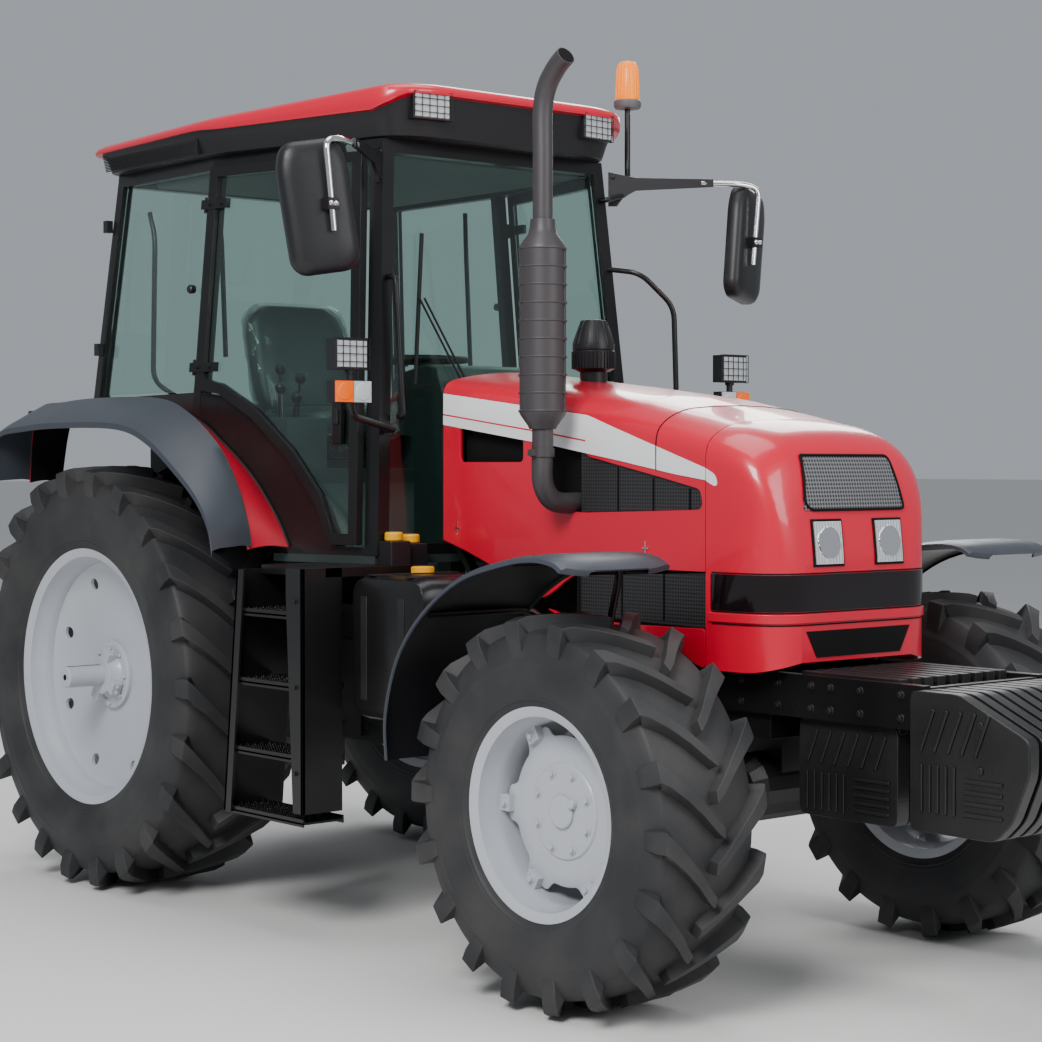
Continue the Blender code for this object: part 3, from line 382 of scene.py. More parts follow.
def make_grain_group():
    """Fine grain of moulded plastic, cast iron and rubber: a height and a roughness."""
    tree, given, out = group("fine_grain", [
        ("Scale", "NodeSocketFloat", 300.0), ("Roughness", "NodeSocketFloat", 0.5),
        ("Spread", "NodeSocketFloat", 0.1)],
        [("Height", "NodeSocketFloat"), ("Roughness", "NodeSocketFloat")])
    place = tree.nodes.new("ShaderNodeTexCoord").outputs["Object"]
    change = sum_node(tree, "SUBTRACT", noise(tree, place, 6.0), 0.5)
    spread = sum_node(tree, "MULTIPLY_ADD", change, given["Spread"], given["Roughness"])
    tree.links.new(noise(tree, place, given["Scale"]), out["Height"])
    tree.links.new(spread, out["Roughness"])
    return tree


def make_dust_group():
    """A thin, cloudy film of dust over a colour."""
    tree, given, out = group("dust_film", [
        ("Colour", "NodeSocketColor", (0.5, 0.5, 0.5, 1)), ("Dust", "NodeSocketColor", (0.2, 0.19, 0.17, 1)),
        ("Amount", "NodeSocketFloat", 0.1)], [("Colour", "NodeSocketColor")])
    place = tree.nodes.new("ShaderNodeTexCoord").outputs["Object"]
    ramp = tree.nodes.new("ShaderNodeMapRange")
    ramp.inputs["From Min"].default_value = 0.35
    ramp.inputs["From Max"].default_value = 0.75
    tree.links.new(noise(tree, place, 4.0, 6.0), ramp.inputs["Value"])
    share = sum_node(tree, "MULTIPLY", ramp.outputs["Result"], given["Amount"])
    tree.links.new(mixed_colour(tree, share, given["Colour"], given["Dust"]), out["Colour"])
    return tree


GRAIN = make_grain_group()
DUST = make_dust_group()
MATERIALS = {}
HOLE_SHARE = 0.36


def finish(name, colour, roughness, grain=0.0, scale=300.0, spread=0.05, dust=0.0, **shader_values):
    """A Principled finish with optional grain and dust; the rest is set on the shader's sockets."""
    material = bpy.data.materials.new(name)
    material.use_nodes = True
    tree = material.node_tree
    shader = tree.nodes["Principled BSDF"]
    shader.inputs["Base Color"].default_value = (*colour, 1)
    shader.inputs["Roughness"].default_value = roughness
    for label, value in shader_values.items():
        shader.inputs[label.replace("_", " ")].default_value = value
    if grain or spread:
        fine = tree.nodes.new("ShaderNodeGroup")
        fine.node_tree = GRAIN
        fine.inputs["Scale"].default_value = scale
        fine.inputs["Roughness"].default_value = roughness
        fine.inputs["Spread"].default_value = spread
        tree.links.new(fine.outputs["Roughness"], shader.inputs["Roughness"])
        if grain:
            bump = tree.nodes.new("ShaderNodeBump")
            bump.inputs["Strength"].default_value = grain
            bump.inputs["Distance"].default_value = 0.002
            tree.links.new(fine.outputs["Height"], bump.inputs["Height"])
            tree.links.new(bump.outputs["Normal"], shader.inputs["Normal"])
    if dust:
        film = tree.nodes.new("ShaderNodeGroup")
        film.node_tree = DUST
        film.inputs["Colour"].default_value = (*colour, 1)
        film.inputs["Amount"].default_value = dust
        tree.links.new(film.outputs["Colour"], shader.inputs["Base Color"])
    MATERIALS[name] = material
    return material


def see_through(name, colour, roughness=0.0, shade=(1, 1, 1), thin=0.0):
    """Glass that lets light through, or a thin film that mostly leaves what is behind it alone."""
    material = finish(name, colour, roughness, spread=0.0, Transmission_Weight=1.0, IOR=1.45)
    tree = material.node_tree
    clear = tree.nodes.new("ShaderNodeBsdfTransparent")
    clear.inputs["Color"].default_value = (*shade, 1)
    rays = tree.nodes.new("ShaderNodeLightPath")
    mix = tree.nodes.new("ShaderNodeMixShader")
    share = sum_node(tree, "MAXIMUM", rays.outputs["Is Shadow Ray"], thin)
    tree.links.new(share, mix.inputs[0])
    tree.links.new(tree.nodes["Principled BSDF"].outputs[0], mix.inputs[1])
    tree.links.new(clear.outputs[0], mix.inputs[2])
    tree.links.new(mix.outputs[0], tree.nodes["Material Output"].inputs["Surface"])


def perforated(name, back, metal, pitch, plane):
    """Punched sheet: a painted plate with rows of holes painted as dark dots, the painted shade seen through
    them.
    """
    material = finish(name, metal, 0.45, spread=0.0)
    tree = material.node_tree
    place = tree.nodes.new("ShaderNodeTexCoord").outputs["Object"]
    flat = tree.nodes.new("ShaderNodeVectorMath")
    flat.operation = "MULTIPLY"
    flat.inputs[1].default_value = plane
    tree.links.new(place, flat.inputs[0])
    cells = tree.nodes.new("ShaderNodeTexVoronoi")
    cells.inputs["Scale"].default_value = 1 / pitch
    cells.inputs["Randomness"].default_value = 0.0
    tree.links.new(flat.outputs[0], cells.inputs["Vector"])
    # the holes are not cut: each is painted in the back colour, a dark painted shade standing for the space
    # behind the sheet
    hole = sum_node(tree, "LESS_THAN", cells.outputs["Distance"], HOLE_SHARE)
    colour = mixed_colour(tree, hole, (*metal, 1), (*back, 1))
    tree.links.new(colour, tree.nodes["Principled BSDF"].inputs["Base Color"])


def make_finishes():
    """Every finish of the tractor, by name."""
    finish("red_paint", (0.60, 0.001, 0.026), 0.30, spread=0.04, Coat_Weight=0.55, Coat_Roughness=0.05)
    finish("white_stripe", (0.78, 0.78, 0.79), 0.35, spread=0.04, Coat_Weight=0.5, Coat_Roughness=0.05)
    finish("black_paint", (0.005, 0.005, 0.0055), 0.30, spread=0.1, dust=0.02, Specular_IOR_Level=0.4)
    finish("cast_black", (0.0065, 0.0065, 0.007), 0.42, grain=0.4, scale=160, spread=0.12, dust=0.06,
           Specular_IOR_Level=0.45)
    # dark plastic is also the painted shade on the front wing's underside
    finish("dark_plastic", (0.010, 0.010, 0.012), 0.40, grain=0.12, scale=700, spread=0.06,
           Specular_IOR_Level=0.4)
    finish("flare_plastic", (0.036, 0.042, 0.054), 0.42, grain=0.1, scale=700)
    # matt black is also used as painted shade: the hood's shut line, the nose seams, the bumper opening, the
    # rear wing's underside, the sheets behind the side openings, the exhaust's mouth and the marks on the
    # rear axle bar
    finish("matt_black", (0.003, 0.003, 0.003), 0.8, spread=0.0, Specular_IOR_Level=0.2)
    finish("smoked", (0.006, 0.003, 0.004), 0.10, spread=0.0, Coat_Weight=0.4, Coat_Roughness=0.03)
    finish("rubber", (0.017, 0.0175, 0.020), 0.60, grain=0.25, scale=220, spread=0.16, dust=0.14,
           Specular_IOR_Level=0.4)
    finish("seal_rubber", (0.006, 0.006, 0.006), 0.6, spread=0.05, Specular_IOR_Level=0.3)
    finish("rim_paint", (0.43, 0.45, 0.49), 0.34, spread=0.08, dust=0.10, Coat_Weight=0.2)
    finish("zinc", (0.55, 0.55, 0.56), 0.3, spread=0.1, Metallic=1.0)
    finish("reflector", (0.93, 0.93, 0.95), 0.30, spread=0.2, Metallic=0.75)
    finish("chrome", (0.85, 0.85, 0.86), 0.07, spread=0.02, Metallic=1.0)
    finish("warm_steel", (0.042, 0.037, 0.040), 0.46, grain=0.1, scale=250, spread=0.12)
    finish("seat_vinyl", (0.010, 0.020, 0.021), 0.45, grain=0.2, scale=500)
    finish("cab_lining", (0.016, 0.026, 0.026), 0.7, grain=0.1, scale=400)
    finish("headliner", (0.10, 0.13, 0.125), 0.8, grain=0.1, scale=400)
    finish("amber", (1.0, 0.24, 0.0), 0.2, spread=0.0, Specular_IOR_Level=0.3,
           Emission_Color=(1.0, 0.30, 0.0, 1), Emission_Strength=0.35)
    finish("orange_lens", (0.9, 0.13, 0.0), 0.15, spread=0.0, Coat_Weight=0.3,
           Emission_Color=(1.0, 0.22, 0.0, 1), Emission_Strength=0.12)
    finish("red_lens", (0.5, 0.004, 0.004), 0.15, spread=0.0, Coat_Weight=0.3)
    finish("clear_lens", (0.50, 0.53, 0.55), 0.12, spread=0.0, Coat_Weight=0.6)
    finish("yellow_cap", (0.85, 0.40, 0.0), 0.4, spread=0.03)
    finish("beacon_base", (0.11, 0.11, 0.115), 0.45, spread=0.05)
    finish("mirror_face", (0.9, 0.9, 0.9), 0.02, spread=0.0, Metallic=1.0)
    see_through("tinted_glass", (0.66, 0.82, 0.77), 0.0, (0.60, 0.74, 0.69))
    see_through("film", (0.95, 0.97, 0.97), 0.05, (0.93, 0.95, 0.95), 0.5)
    # the first colour of each punched sheet is the painted shade seen through its holes
    perforated("grille_mesh", (0.010, 0.010, 0.011), (0.16, 0.16, 0.17), 0.0125, (0, 1, 1))
    perforated("vent_mesh", (0.003, 0.003, 0.003), (0.030, 0.030, 0.032), 0.012, (1, 0, 1))


# ---- wheels ----
# per tyre: half width, bar height, bead radius, bead's set-in, bars a side, their sweep and their width
TYRES = {"rear": (0.26, 0.046, 0.484, 0.052, 22, 0.30, 0.060),
         "front": (0.21, 0.038, 0.306, 0.042, 18, 0.33, 0.055)}

# along a bar: share of the half width, drop below the tread, widening
LUG_PATH = ((-0.06, 0.0, 0.85), (0.10, 0.0, 0.95), (0.35, -0.001, 1.08), (0.62, -0.003, 1.18),
            (0.88, -0.007, 1.42), (1.0, -0.018, 1.55), (1.02, -0.060, 1.60), (0.985, -0.115, 1.45))


def wheel_centre(end, side):
    """The middle of a wheel."""
    if end == "rear":
        return Vector((0, side * REAR_Y, REAR_R))
    return Vector((WHEELBASE, side * FRONT_Y, FRONT_R))


def tyre(end, label, side):
    """Carcass with ridged sidewalls and open-centre bars, alternating left and right."""
    half, depth, bead, set_in, count, sweep, width = TYRES[end]
    centre = wheel_centre(end, side)
    radius = REAR_R if end == "rear" else FRONT_R
    wall = radius - depth - bead
    seat = half - set_in
    shape_half = [(0.0, radius - depth), (half * 0.45, radius - depth - 0.003),
                  (half * 0.80, radius - depth - 0.016), (half * 0.90, bead + wall * 0.86),
                  (half * 0.965, bead + wall * 0.66), (half * 0.985, bead + wall * 0.46),
                  (half * 0.93, bead + wall * 0.24), (half * 0.86, bead + wall * 0.11), (seat, bead)]
    outer = [(p.x, p.y) for p in spline(shape_half, 6)]
    ridged = []
    for a, r in outer:
        share = (r - bead) / wall
        lift = 0.0
        for line in (0.17, 0.205, 0.60, 0.635):
            lift += 0.0042 * math.exp(-((share - line) / 0.008) ** 2)
        ridged.append((a + lift, r))
    profile = [(-a, r) for a, r in ridged[::-1]] + ridged[1:]
    tread = Shape()
    tread.lathe(centre, (0, side, 0), profile, 144, closed=True)
    for k, base in enumerate(turns(count * 2)):
        hand = 1 if k % 2 else -1
        rings = []
        for u, drop, wide in LUG_PATH:
            across = hand * u * half * 0.985
            turn = base + sweep * (min(max(u, 0.0), 1.0) ** 0.85)
            top = radius + drop - 0.0005
            low, inward = (top - depth - 0.030, 0.94) if u < 0.95 else (top - 0.05, 0.80)
            ring = []
            for r, part, scale in ((low, -1, 1.0), (top, -1, 0.80), (top, 1, 0.80), (low, 1, 1.0)):
                angle = -(turn + part * width * wide * scale / 2 / radius)
                out = across * (inward if r == low else 1.0)
                ring.append(centre + Vector((math.cos(angle) * r, out, -math.sin(angle) * r)))
            rings.append(ring)
        tread.loft(rings)
    tread.make(f"tyre_{end}_{label}_rubber", f"{end}_wheel_{label}", ["rubber"], 0.0045, 40,
               replaces=[f"tyre_{end}_{label}"])


def rear_rim(label, side):
    """Deep rim on a dished disc with round holes, and the clamped hub on its long bar axle."""
    centre = wheel_centre("rear", side)
    axis = (0, side, 0)
    body = f"rear_wheel_{label}"
    barrel = Shape()
    edge = [(0.219, 0.502), (0.220, 0.507), (0.214, 0.508), (0.208, 0.500), (0.203, 0.483), (0.165, 0.479),
            (0.150, 0.466), (0.125, 0.460)]
    inside = [(0.118, 0.449), (0.150, 0.455), (0.172, 0.470), (0.206, 0.474), (0.214, 0.490)]
    outer = edge + [(-a, r) for a, r in edge[::-1]]
    inner = [(-a, r) for a, r in inside[::-1]] + inside
    barrel.lathe(centre, axis, outer + inner, 96, closed=True)
    barrel.make(f"rim_rear_{label}_barrel", body, ["rim_paint"], angle=28,
                replaces=[f"rim_rear_{label}"])
    disc = Shape()
    front = [(0.118, 0.452), (0.108, 0.440), (0.098, 0.420), (0.085, 0.36), (0.078, 0.29), (0.080, 0.22),
             (0.084, 0.16), (0.084, 0.05)]
    back = [(a - 0.012, r) for a, r in front[::-1]]
    disc.lathe(centre, axis, front + back, 96, closed=True)
    plate = disc.make(f"rim_rear_{label}_disc", body, ["rim_paint"], angle=28)
    holes = Shape()
    for angle in turns(8, 0.5):
        at = spot(centre, angle, 0.385, side * 0.04)
        holes.rod(at, at + Vector((0, side * 0.12, 0)), 0.024, 20)
    carve(plate, holes)
    hub = Shape()
    hub.lathe(centre, axis, [(0.084, 0.135), (0.100, 0.135), (0.104, 0.130), (0.108, 0.096), (0.135, 0.078),
                             (0.150, 0.075), (0.153, 0.070)], 48)
    hub.lathe(centre, axis, [(-0.02, 0.105), (0.075, 0.105)], 32)
    for angle in turns(8):
        hub.bolt(spot(centre, angle, 0.114, side * 0.103), axis, 0.014)
    for angle in turns(4):
        spin = Matrix.Translation(centre) @ Matrix.Rotation(angle + 0.5, 4, "Y")
        hub.block(spin @ Matrix.Translation((0.088, side * 0.132, 0)), (0.044, 0.040, 0.050))
        for z in (-0.013, 0.013):
            hub.bolt(spin @ Vector((0.110, side * 0.132, z)), spin.to_3x3() @ Vector((1, 0, 0)), 0.010)
    hub.make(f"rim_rear_{label}_hub", body, ["rim_paint"], 0.002, 30)
    bar = Shape()
    bar.rod((0, side * 0.50, REAR_R), (0, side * 1.143, REAR_R), 0.042, 40, 0, 0.004)
    bar.rod((0, side * 0.5605, REAR_R), (0, side * 0.585, REAR_R), 0.065, 32)
    # matt black disc on the bar's end and strip along its top: painted shade standing for a hole in the end
    # and a groove along the top
    bar.rod((0, side * 1.1425, REAR_R), (0, side * 1.1435, REAR_R), 0.012, 16, 1)
    bar.box((-0.006, side * 1.06 - 0.075, REAR_R + 0.040), (0.006, side * 1.06 + 0.07, REAR_R + 0.0425), 1)
    bar.make(f"rim_rear_{label}_bar", body, ["rim_paint", "matt_black"], angle=28)


def front_rim(label, side):
    """Rim with six lugs bolted to a lobed disc, and the reduction hub's cover."""
    centre = wheel_centre("front", side)
    axis = (0, side, 0)
    body = f"front_wheel_{label}"
    barrel = Shape()
    edge = [(0.179, 0.325), (0.180, 0.329), (0.174, 0.330), (0.169, 0.322), (0.165, 0.306), (0.130, 0.302),
            (0.110, 0.292), (0.090, 0.288)]
    inside = [(0.085, 0.279), (0.112, 0.283), (0.134, 0.294), (0.168, 0.298), (0.175, 0.313)]
    outer = edge + [(-a, r) for a, r in edge[::-1]]
    inner = [(-a, r) for a, r in inside[::-1]] + inside
    barrel.lathe(centre, axis, outer + inner, 96, closed=True)
    barrel.make(f"rim_front_{label}_barrel", body, ["rim_paint"], angle=28,
                replaces=[f"rim_front_{label}"])
    disc = Shape()
    rings = []
    rows = ((0.056, 0.94), (0.066, 0.965), (0.070, 0.93), (0.073, 0.80), (0.070, 0.62), (0.066, 0.50),
            (0.066, 0.14), (0.052, 0.14))
    waist = 0.242
    for along, share in rows:
        ring = []
        for angle in turns(120):
            lobe = 0.5 + 0.5 * math.cos(6 * angle)
            reach = waist + 0.038 * min(1.0, max(0.0, (lobe - 0.45) / 0.25))
            r = reach * share if share > 0.9 else waist * share
            ring.append(spot(centre, angle, r, side * along))
        rings.append(ring)
    disc.loft(rings + [rings[0]], ends=False)
    for angle in turns(6):
        spin = Matrix.Translation(centre) @ Matrix.Rotation(-angle, 4, "Y")
        disc.block(spin @ Matrix.Translation((0.262, side * 0.078, 0)), (0.050, 0.030, 0.052))
        disc.bolt(spin @ Vector((0.256, side * 0.093, 0)), axis, 0.015)
    disc.lathe(centre, axis, [(0.060, 0.150), (0.072, 0.150), (0.076, 0.145), (0.078, 0.060),
                              (0.076, 0.030)], 48)
    disc.lathe(centre, axis, [(0.070, 0.052), (0.086, 0.052), (0.090, 0.047)], 32)
    disc.lathe(centre + Vector((0.052, 0, 0.030)), axis, [(0.070, 0.017), (0.094, 0.016), (0.097, 0.013)], 20)
    for angle in turns(8, 0.5):
        disc.bolt(spot(centre, angle, 0.122, side * 0.077), axis, 0.014)
    disc.make(f"rim_front_{label}_disc", body, ["rim_paint"], 0.0015, 30)


# ---- bodywork ----
# along the hood: crown, shoulder and lower edge
HOOD_ROWS = [(HOOD_REAR + (SEAM_X - HOOD_REAR) * t, *levels) for t, *levels in (
    (0.0, 2.020, 1.965, 1.820), (0.46, 1.950, 1.875, 1.738), (0.69, 1.911, 1.825, 1.690),
    (0.89, 1.857, 1.775, 1.645), (1.0, 1.825, 1.745, 1.625))]
STRIPE_TOP = [(HOOD_REAR, 1.934), (2.25, 1.842), (2.60, 1.733), (2.82, 1.664), (2.871, 1.640)]
STRIPE_END = 2.871
LINE_END = 2.25
SHUT_LINE = 2.591


def section(x, crown, shoulder, low, half, marks):
    """Half of a hood section, from its lower edge to the middle; marks are levels that get a point."""
    brow = half - 0.012
    fixed = [(half, low), (half, shoulder - 0.10), (brow, shoulder), (brow * 0.74, crown - 0.022),
             (brow * 0.35, crown - 0.004), (0.0, crown)]
    curve = [Vector((half, low)), *spline(fixed[1:], 5)]
    side = []
    for z in marks:
        z = max(z, low)
        for a, b in zip(curve, curve[1:]):
            if b.y >= z and b.y > a.y:
                t = (z - a.y) / (b.y - a.y)
                side.append((a + (b - a) * t, z))
                break
    top = marks[-1]
    line = [p for p, _ in side] + [p for p in curve if p.y > top + 0.004]
    return [(x, p.x, p.y) for p in resample(line, 26, len(marks))]


def resample(line, count, keep):
    """The line with its first points kept and the rest spread evenly."""
    fixed, rest = line[:keep], line[keep - 1:]
    lengths = [0.0]
    for a, b in zip(rest, rest[1:]):
        lengths.append(lengths[-1] + (b - a).length)
    out = list(fixed)
    number = count - keep
    for k in range(1, number + 1):
        want = lengths[-1] * k / number
        for i in range(len(rest) - 1):
            if lengths[i + 1] >= want - 1e-9:
                break
        t = (want - lengths[i]) / max(lengths[i + 1] - lengths[i], 1e-9)
        out.append(rest[i] + (rest[i + 1] - rest[i]) * t)
    return out


def stripe_levels(x, low):
    """Levels of the side stripe and of the thin line in it."""
    if x >= STRIPE_END:
        return [low, low + 0.0005, low + 0.001, low + 0.0015]
    top = between(STRIPE_TOP, x)[0]
    line = low + (top - low) * 0.30
    return [low, line, line + (0.006 if x < LINE_END else 0.0005), max(top, low + 0.002)]


def hood_grid(stations):
    """Points of the hood's outer skin, from its right lower edge over the crown to the left one."""
    grid = []
    for x in stations:
        crown, shoulder, low = between(HOOD_ROWS, x)
        half = section(x, crown, shoulder, low, HOOD_HALF, stripe_levels(x, low))
        grid.append([Vector((a, -b, c)) for a, b, c in half] + [Vector(p) for p in reversed(half[:-1])])
    return grid


def paint_stripe(shape, grid, paint_of):
    """Gives the faces of the outer skin between two section lines their own finish."""
    columns = len(grid[0])
    number = 0
    for i in range(len(grid) - 1):
        for j in range(columns - 1):
            band = min(j, columns - 2 - j)
            shape.paint[number] = paint_of((grid[i][j].x + grid[i + 1][j].x) / 2, band)
            number += 2


def hood():
    """Top of the bonnet with its side stripe, its shut line and the hinge lugs; the shut line is a thin matt
    black tube, painted shade in the gap.
    """
    stations = [HOOD_REAR + 0.001 + k * (SEAM_X - 0.002 - HOOD_REAR) / 40 for k in range(41)]
    grid = hood_grid(stations)
    skin = Shape()
    skin.sheet(grid, 0.010)
    paint_stripe(skin, grid, lambda x, band: 1 if band in (0, 2) or (band == 1 and x > LINE_END) else 0)
    # the shut line: a thin matt black tube along the section, painted shade standing for the gap
    crown, shoulder, low = between(HOOD_ROWS, SHUT_LINE)
    line = section(SHUT_LINE, crown, shoulder, low, HOOD_HALF, [low, low + 0.02])
    skin.tube([(a, -b, c) for a, b, c in line] + list(reversed(line[:-1])), 0.0022, 6, 2)
    skin.make("hood_skin", "hood", ["red_paint", "white_stripe", "matt_black"], angle=30,
              replaces=["hood_top"])
    lugs = Shape()
    for y in (-0.2698, 0.2698):
        lugs.box((HOOD_REAR, y - 0.0093, 1.952), (HOOD_REAR + 0.06, y + 0.0093, 1.985))
    lugs.make("hood_lugs", "hood", ["black_paint"], 0.002)


# along the nose: crown, shoulder, lower edge and half width
NOSE_ROWS = [(SEAM_X, 1.825, 1.745, 1.020, 0.4050), (SEAM_X + 0.05, 1.816, 1.735, 1.018, 0.4045),
             (SEAM_X + 0.10, 1.802, 1.718, 1.018, 0.403), (SEAM_X + 0.15, 1.782, 1.695, 1.019, 0.399),
             (SEAM_X + 0.19, 1.755, 1.664, 1.021, 0.391), (SEAM_X + 0.22, 1.715, 1.625, 1.025, 0.380),
             (SEAM_X + 0.245, 1.655, 1.575, 1.030, 0.364), (SEAM_X + 0.265, 1.580, 1.515, 1.036, 0.342),
             (SEAM_X + 0.280, 1.480, 1.425, 1.043, 0.312), (SEAM_X + 0.2898, 1.395, 1.345, 1.052, 0.268)]


def nose():
    """Front of the bonnet, closed by a shallow face; its details are laid on the skin."""
    stations = [row[0] for row in NOSE_ROWS]
    fine = []
    for a, b in zip(stations, stations[1:]):
        fine += [a, (a + b) / 2]
    fine.append(stations[-1])
    fine[0] += 0.0015
    grid = []
    for x, crown, shoulder, low, half in smooth_table(NOSE_ROWS, fine):
        marks = [max(low, m) + 0.0004 * k for k, m in enumerate((1.02, 1.213, 1.328, 1.40))]
        marks = [min(m, shoulder - 0.01 + 0.0005 * k) for k, m in enumerate(marks)]
        line = section(x, crown, shoulder, low, half, marks)
        grid.append([Vector((a, -b, c)) for a, b, c in line] + [Vector(p) for p in reversed(line[:-1])])
    skin = Shape()
    skin.sheet(grid, 0.010)
    rim = grid[-1]
    centre = sum(rim, Vector()) / len(rim)
    rings = [rim, [p.lerp(centre, 0.30) + Vector((0.0012, 0, 0)) for p in rim]]
    rings.append([p.lerp(centre, 0.75) + Vector((0.0016, 0, 0)) for p in rim])
    skin.loft(rings, ends=False)
    skin.add([], [list(range(len(skin.points) - len(rim), len(skin.points)))])
    skin.make("nose_skin", "hood", ["red_paint"], angle=32, replaces=["nose"])
    tree = BVHTree.FromPolygons([tuple(p) for p in skin.points], skin.faces)
    nose_stripes(tree)
    nose_bands(tree)
    nose_grille(tree)
    for label, side in SIDES:
        headlight(tree, label, side)


def smooth_table(rows, stations):
    """Rows read along smooth curves through the table's columns."""
    columns = [spline([(row[0], row[k]) for row in rows], 8) for k in range(1, len(rows[0]))]
    table = []
    for x in stations:
        values = [x]
        for curve in columns:
            for a, b in zip(curve, curve[1:]):
                if x <= b.x + 1e-9:
                    break
            t = (x - a.x) / max(b.x - a.x, 1e-9)
            values.append(a.y + (b.y - a.y) * t)
        table.append(values)
    return table


def onto(tree, start, direction, lift):
    """The point where a ray meets the skin, lifted off it."""
    place, normal, _, _ = tree.ray_cast(Vector(start), Vector(direction))
    if place is None:
        return Vector(start) + Vector(direction) * 0.5
    if normal.dot(Vector(direction)) > 0:
        normal = -normal
    return place + normal * lift


def front_patch(tree, outline_rows, lift):
    """A grid laid on the front skin; each row is (z, low y, high y)."""
    grid = []
    for z, low, high in outline_rows:
        row = [onto(tree, (4, low + (high - low) * k / 16, z), (-1, 0, 0), lift) for k in range(17)]
        grid.append(row)
    return grid[::-1]


def around(tree, low, high, degrees, lift, rows=5, steps=44):
    """A grid that wraps the nose between two levels."""
    grid = []
    for i in range(rows):
        z = low + (high - low) * i / (rows - 1)
        line = []
        for k in range(steps + 1):
            angle = math.radians(-degrees + 2 * degrees * k / steps)
            out = Vector((math.cos(angle), math.sin(angle), 0))
            line.append(onto(tree, Vector((SEAM_X + 0.05, 0, z)) + out * 2, -out, lift))
        grid.append(line)
    return grid[::-1]


def nose_stripes(tree):
    """The white side stripes run out to points on the nose."""
    for label, side in SIDES:
        stripe = Shape()
        grid = []
        for k in range(13):
            x = SEAM_X + 0.003 + (STRIPE_END - SEAM_X - 0.003) * k / 12
            low = 1.623 - 0.022 * k / 12 + 0.012 * (k / 12) ** 8
            top = between(STRIPE_TOP, x)[0] - 0.020 * (k / 12) ** 8
            levels = [low + (top - low) * i / 4 for i in range(5)]
            grid.append([onto(tree, (x, side * 2, z), (0, -side, 0), 0.0012) for z in levels])
        stripe.sheet(grid if side < 0 else [row[::-1] for row in grid], 0.002)
        stripe.make(f"nose_stripe_{label}", "hood", ["white_stripe"], angle=40)


def nose_bands(tree):
    """Smoked band, seams, lip and bumper opening round the nose; the seams and the opening are matt black,
    painted shade in the gaps, under the lip and inside the opening.
    """
    band = Shape()
    band.sheet(around(tree, 1.213, 1.328, 97, 0.0030), 0.004)
    band.make("nose_smoked_band", "hood", ["smoked"], angle=40)
    # black strips painted as shade: in the gaps along the smoked band's edges (1.209, 1.332) and under the
    # lip (1.170)
    seams = Shape()
    for z in (1.209, 1.332, 1.170):
        seams.sheet(around(tree, z - 0.0022, z + 0.0022, 97, 0.0015, 2), 0.003)
    seams.make("nose_seams", "hood", ["matt_black"])
    lip = Shape()
    lip.sheet(around(tree, 1.176, 1.205, 95, 0.0075, 4), 0.010)
    lip.make("nose_lip", "hood", ["red_paint"], 0.002)
    # a matt black sheet on the front skin, painted shade standing for the dark inside of the bumper opening
    hole = Shape()
    hole.sheet(front_patch(tree, [(1.066 + 0.084 * k / 4, -0.200 - 0.012 * k, 0.200 + 0.012 * k)
                                  for k in range(5)], 0.0025), 0.003)
    hole.make("bumper_opening_shade", "hood", ["matt_black"])


def nose_grille(tree):
    """Punched sheet above the headlights, in a round rim."""
    grille = Shape()
    inner = [(z, -h, h) for z, h in ((1.531 + 0.172 * k / 8, 0.238 - 0.030 * k / 8) for k in range(9))]
    grille.sheet(front_patch(tree, inner, 0.004), 0.004)
    patch = front_patch(tree, inner, 0.005)
    rim = patch[0] + [row[-1] for row in patch[1:]] + patch[-1][::-1] + [row[0] for row in patch[::-1]][1:]
    path = rounded([p for i, p in enumerate(rim) if i % 2 == 0], 0.03, 3, closed=False)
    grille.tube(path + [path[0]], 0.0045, 8, 1)
    grille.make("nose_grille", "hood", ["grille_mesh", "matt_black"], angle=40)


def headlight(tree, label, side):
    """Square lamp with a bright round bowl behind upright flutes."""
    lamp = Shape()
    y = side * 0.145
    foot, height, half, rim = 1.352, 0.150, 0.070, 0.008
    flute_pitch, flute_half, flute_end = 0.0135, 0.001, 0.010
    housing = [(foot + height * k / 6, y - half, y + half) for k in range(7)]
    lamp.sheet(front_patch(tree, housing, 0.004), 0.006)
    bright = [(foot + rim + (height - 2 * rim) * k / 6, y - half + rim, y + half - rim) for k in range(7)]
    lamp.sheet(front_patch(tree, bright, 0.008), 0.004, 1)
    bowl = onto(tree, (4, y, foot + height / 2), (-1, 0, 0), 0.006)
    lamp.lathe(bowl, (1, 0, 0.1), [(0.0, 0.052), (0.006, 0.050), (0.0075, 0.030), (0.008, 0.012)], 32, 2)
    for k in range(-4, 5):
        at = y + k * flute_pitch
        flute = [(foot + flute_end + (height - 2 * flute_end) * i / 4, at - flute_half, at + flute_half)
                 for i in range(5)]
        lamp.sheet(front_patch(tree, flute, 0.0095), 0.002, 2)
    lamp.make(f"headlight_{label}", "hood", ["matt_black", "reflector", "chrome"], angle=40)


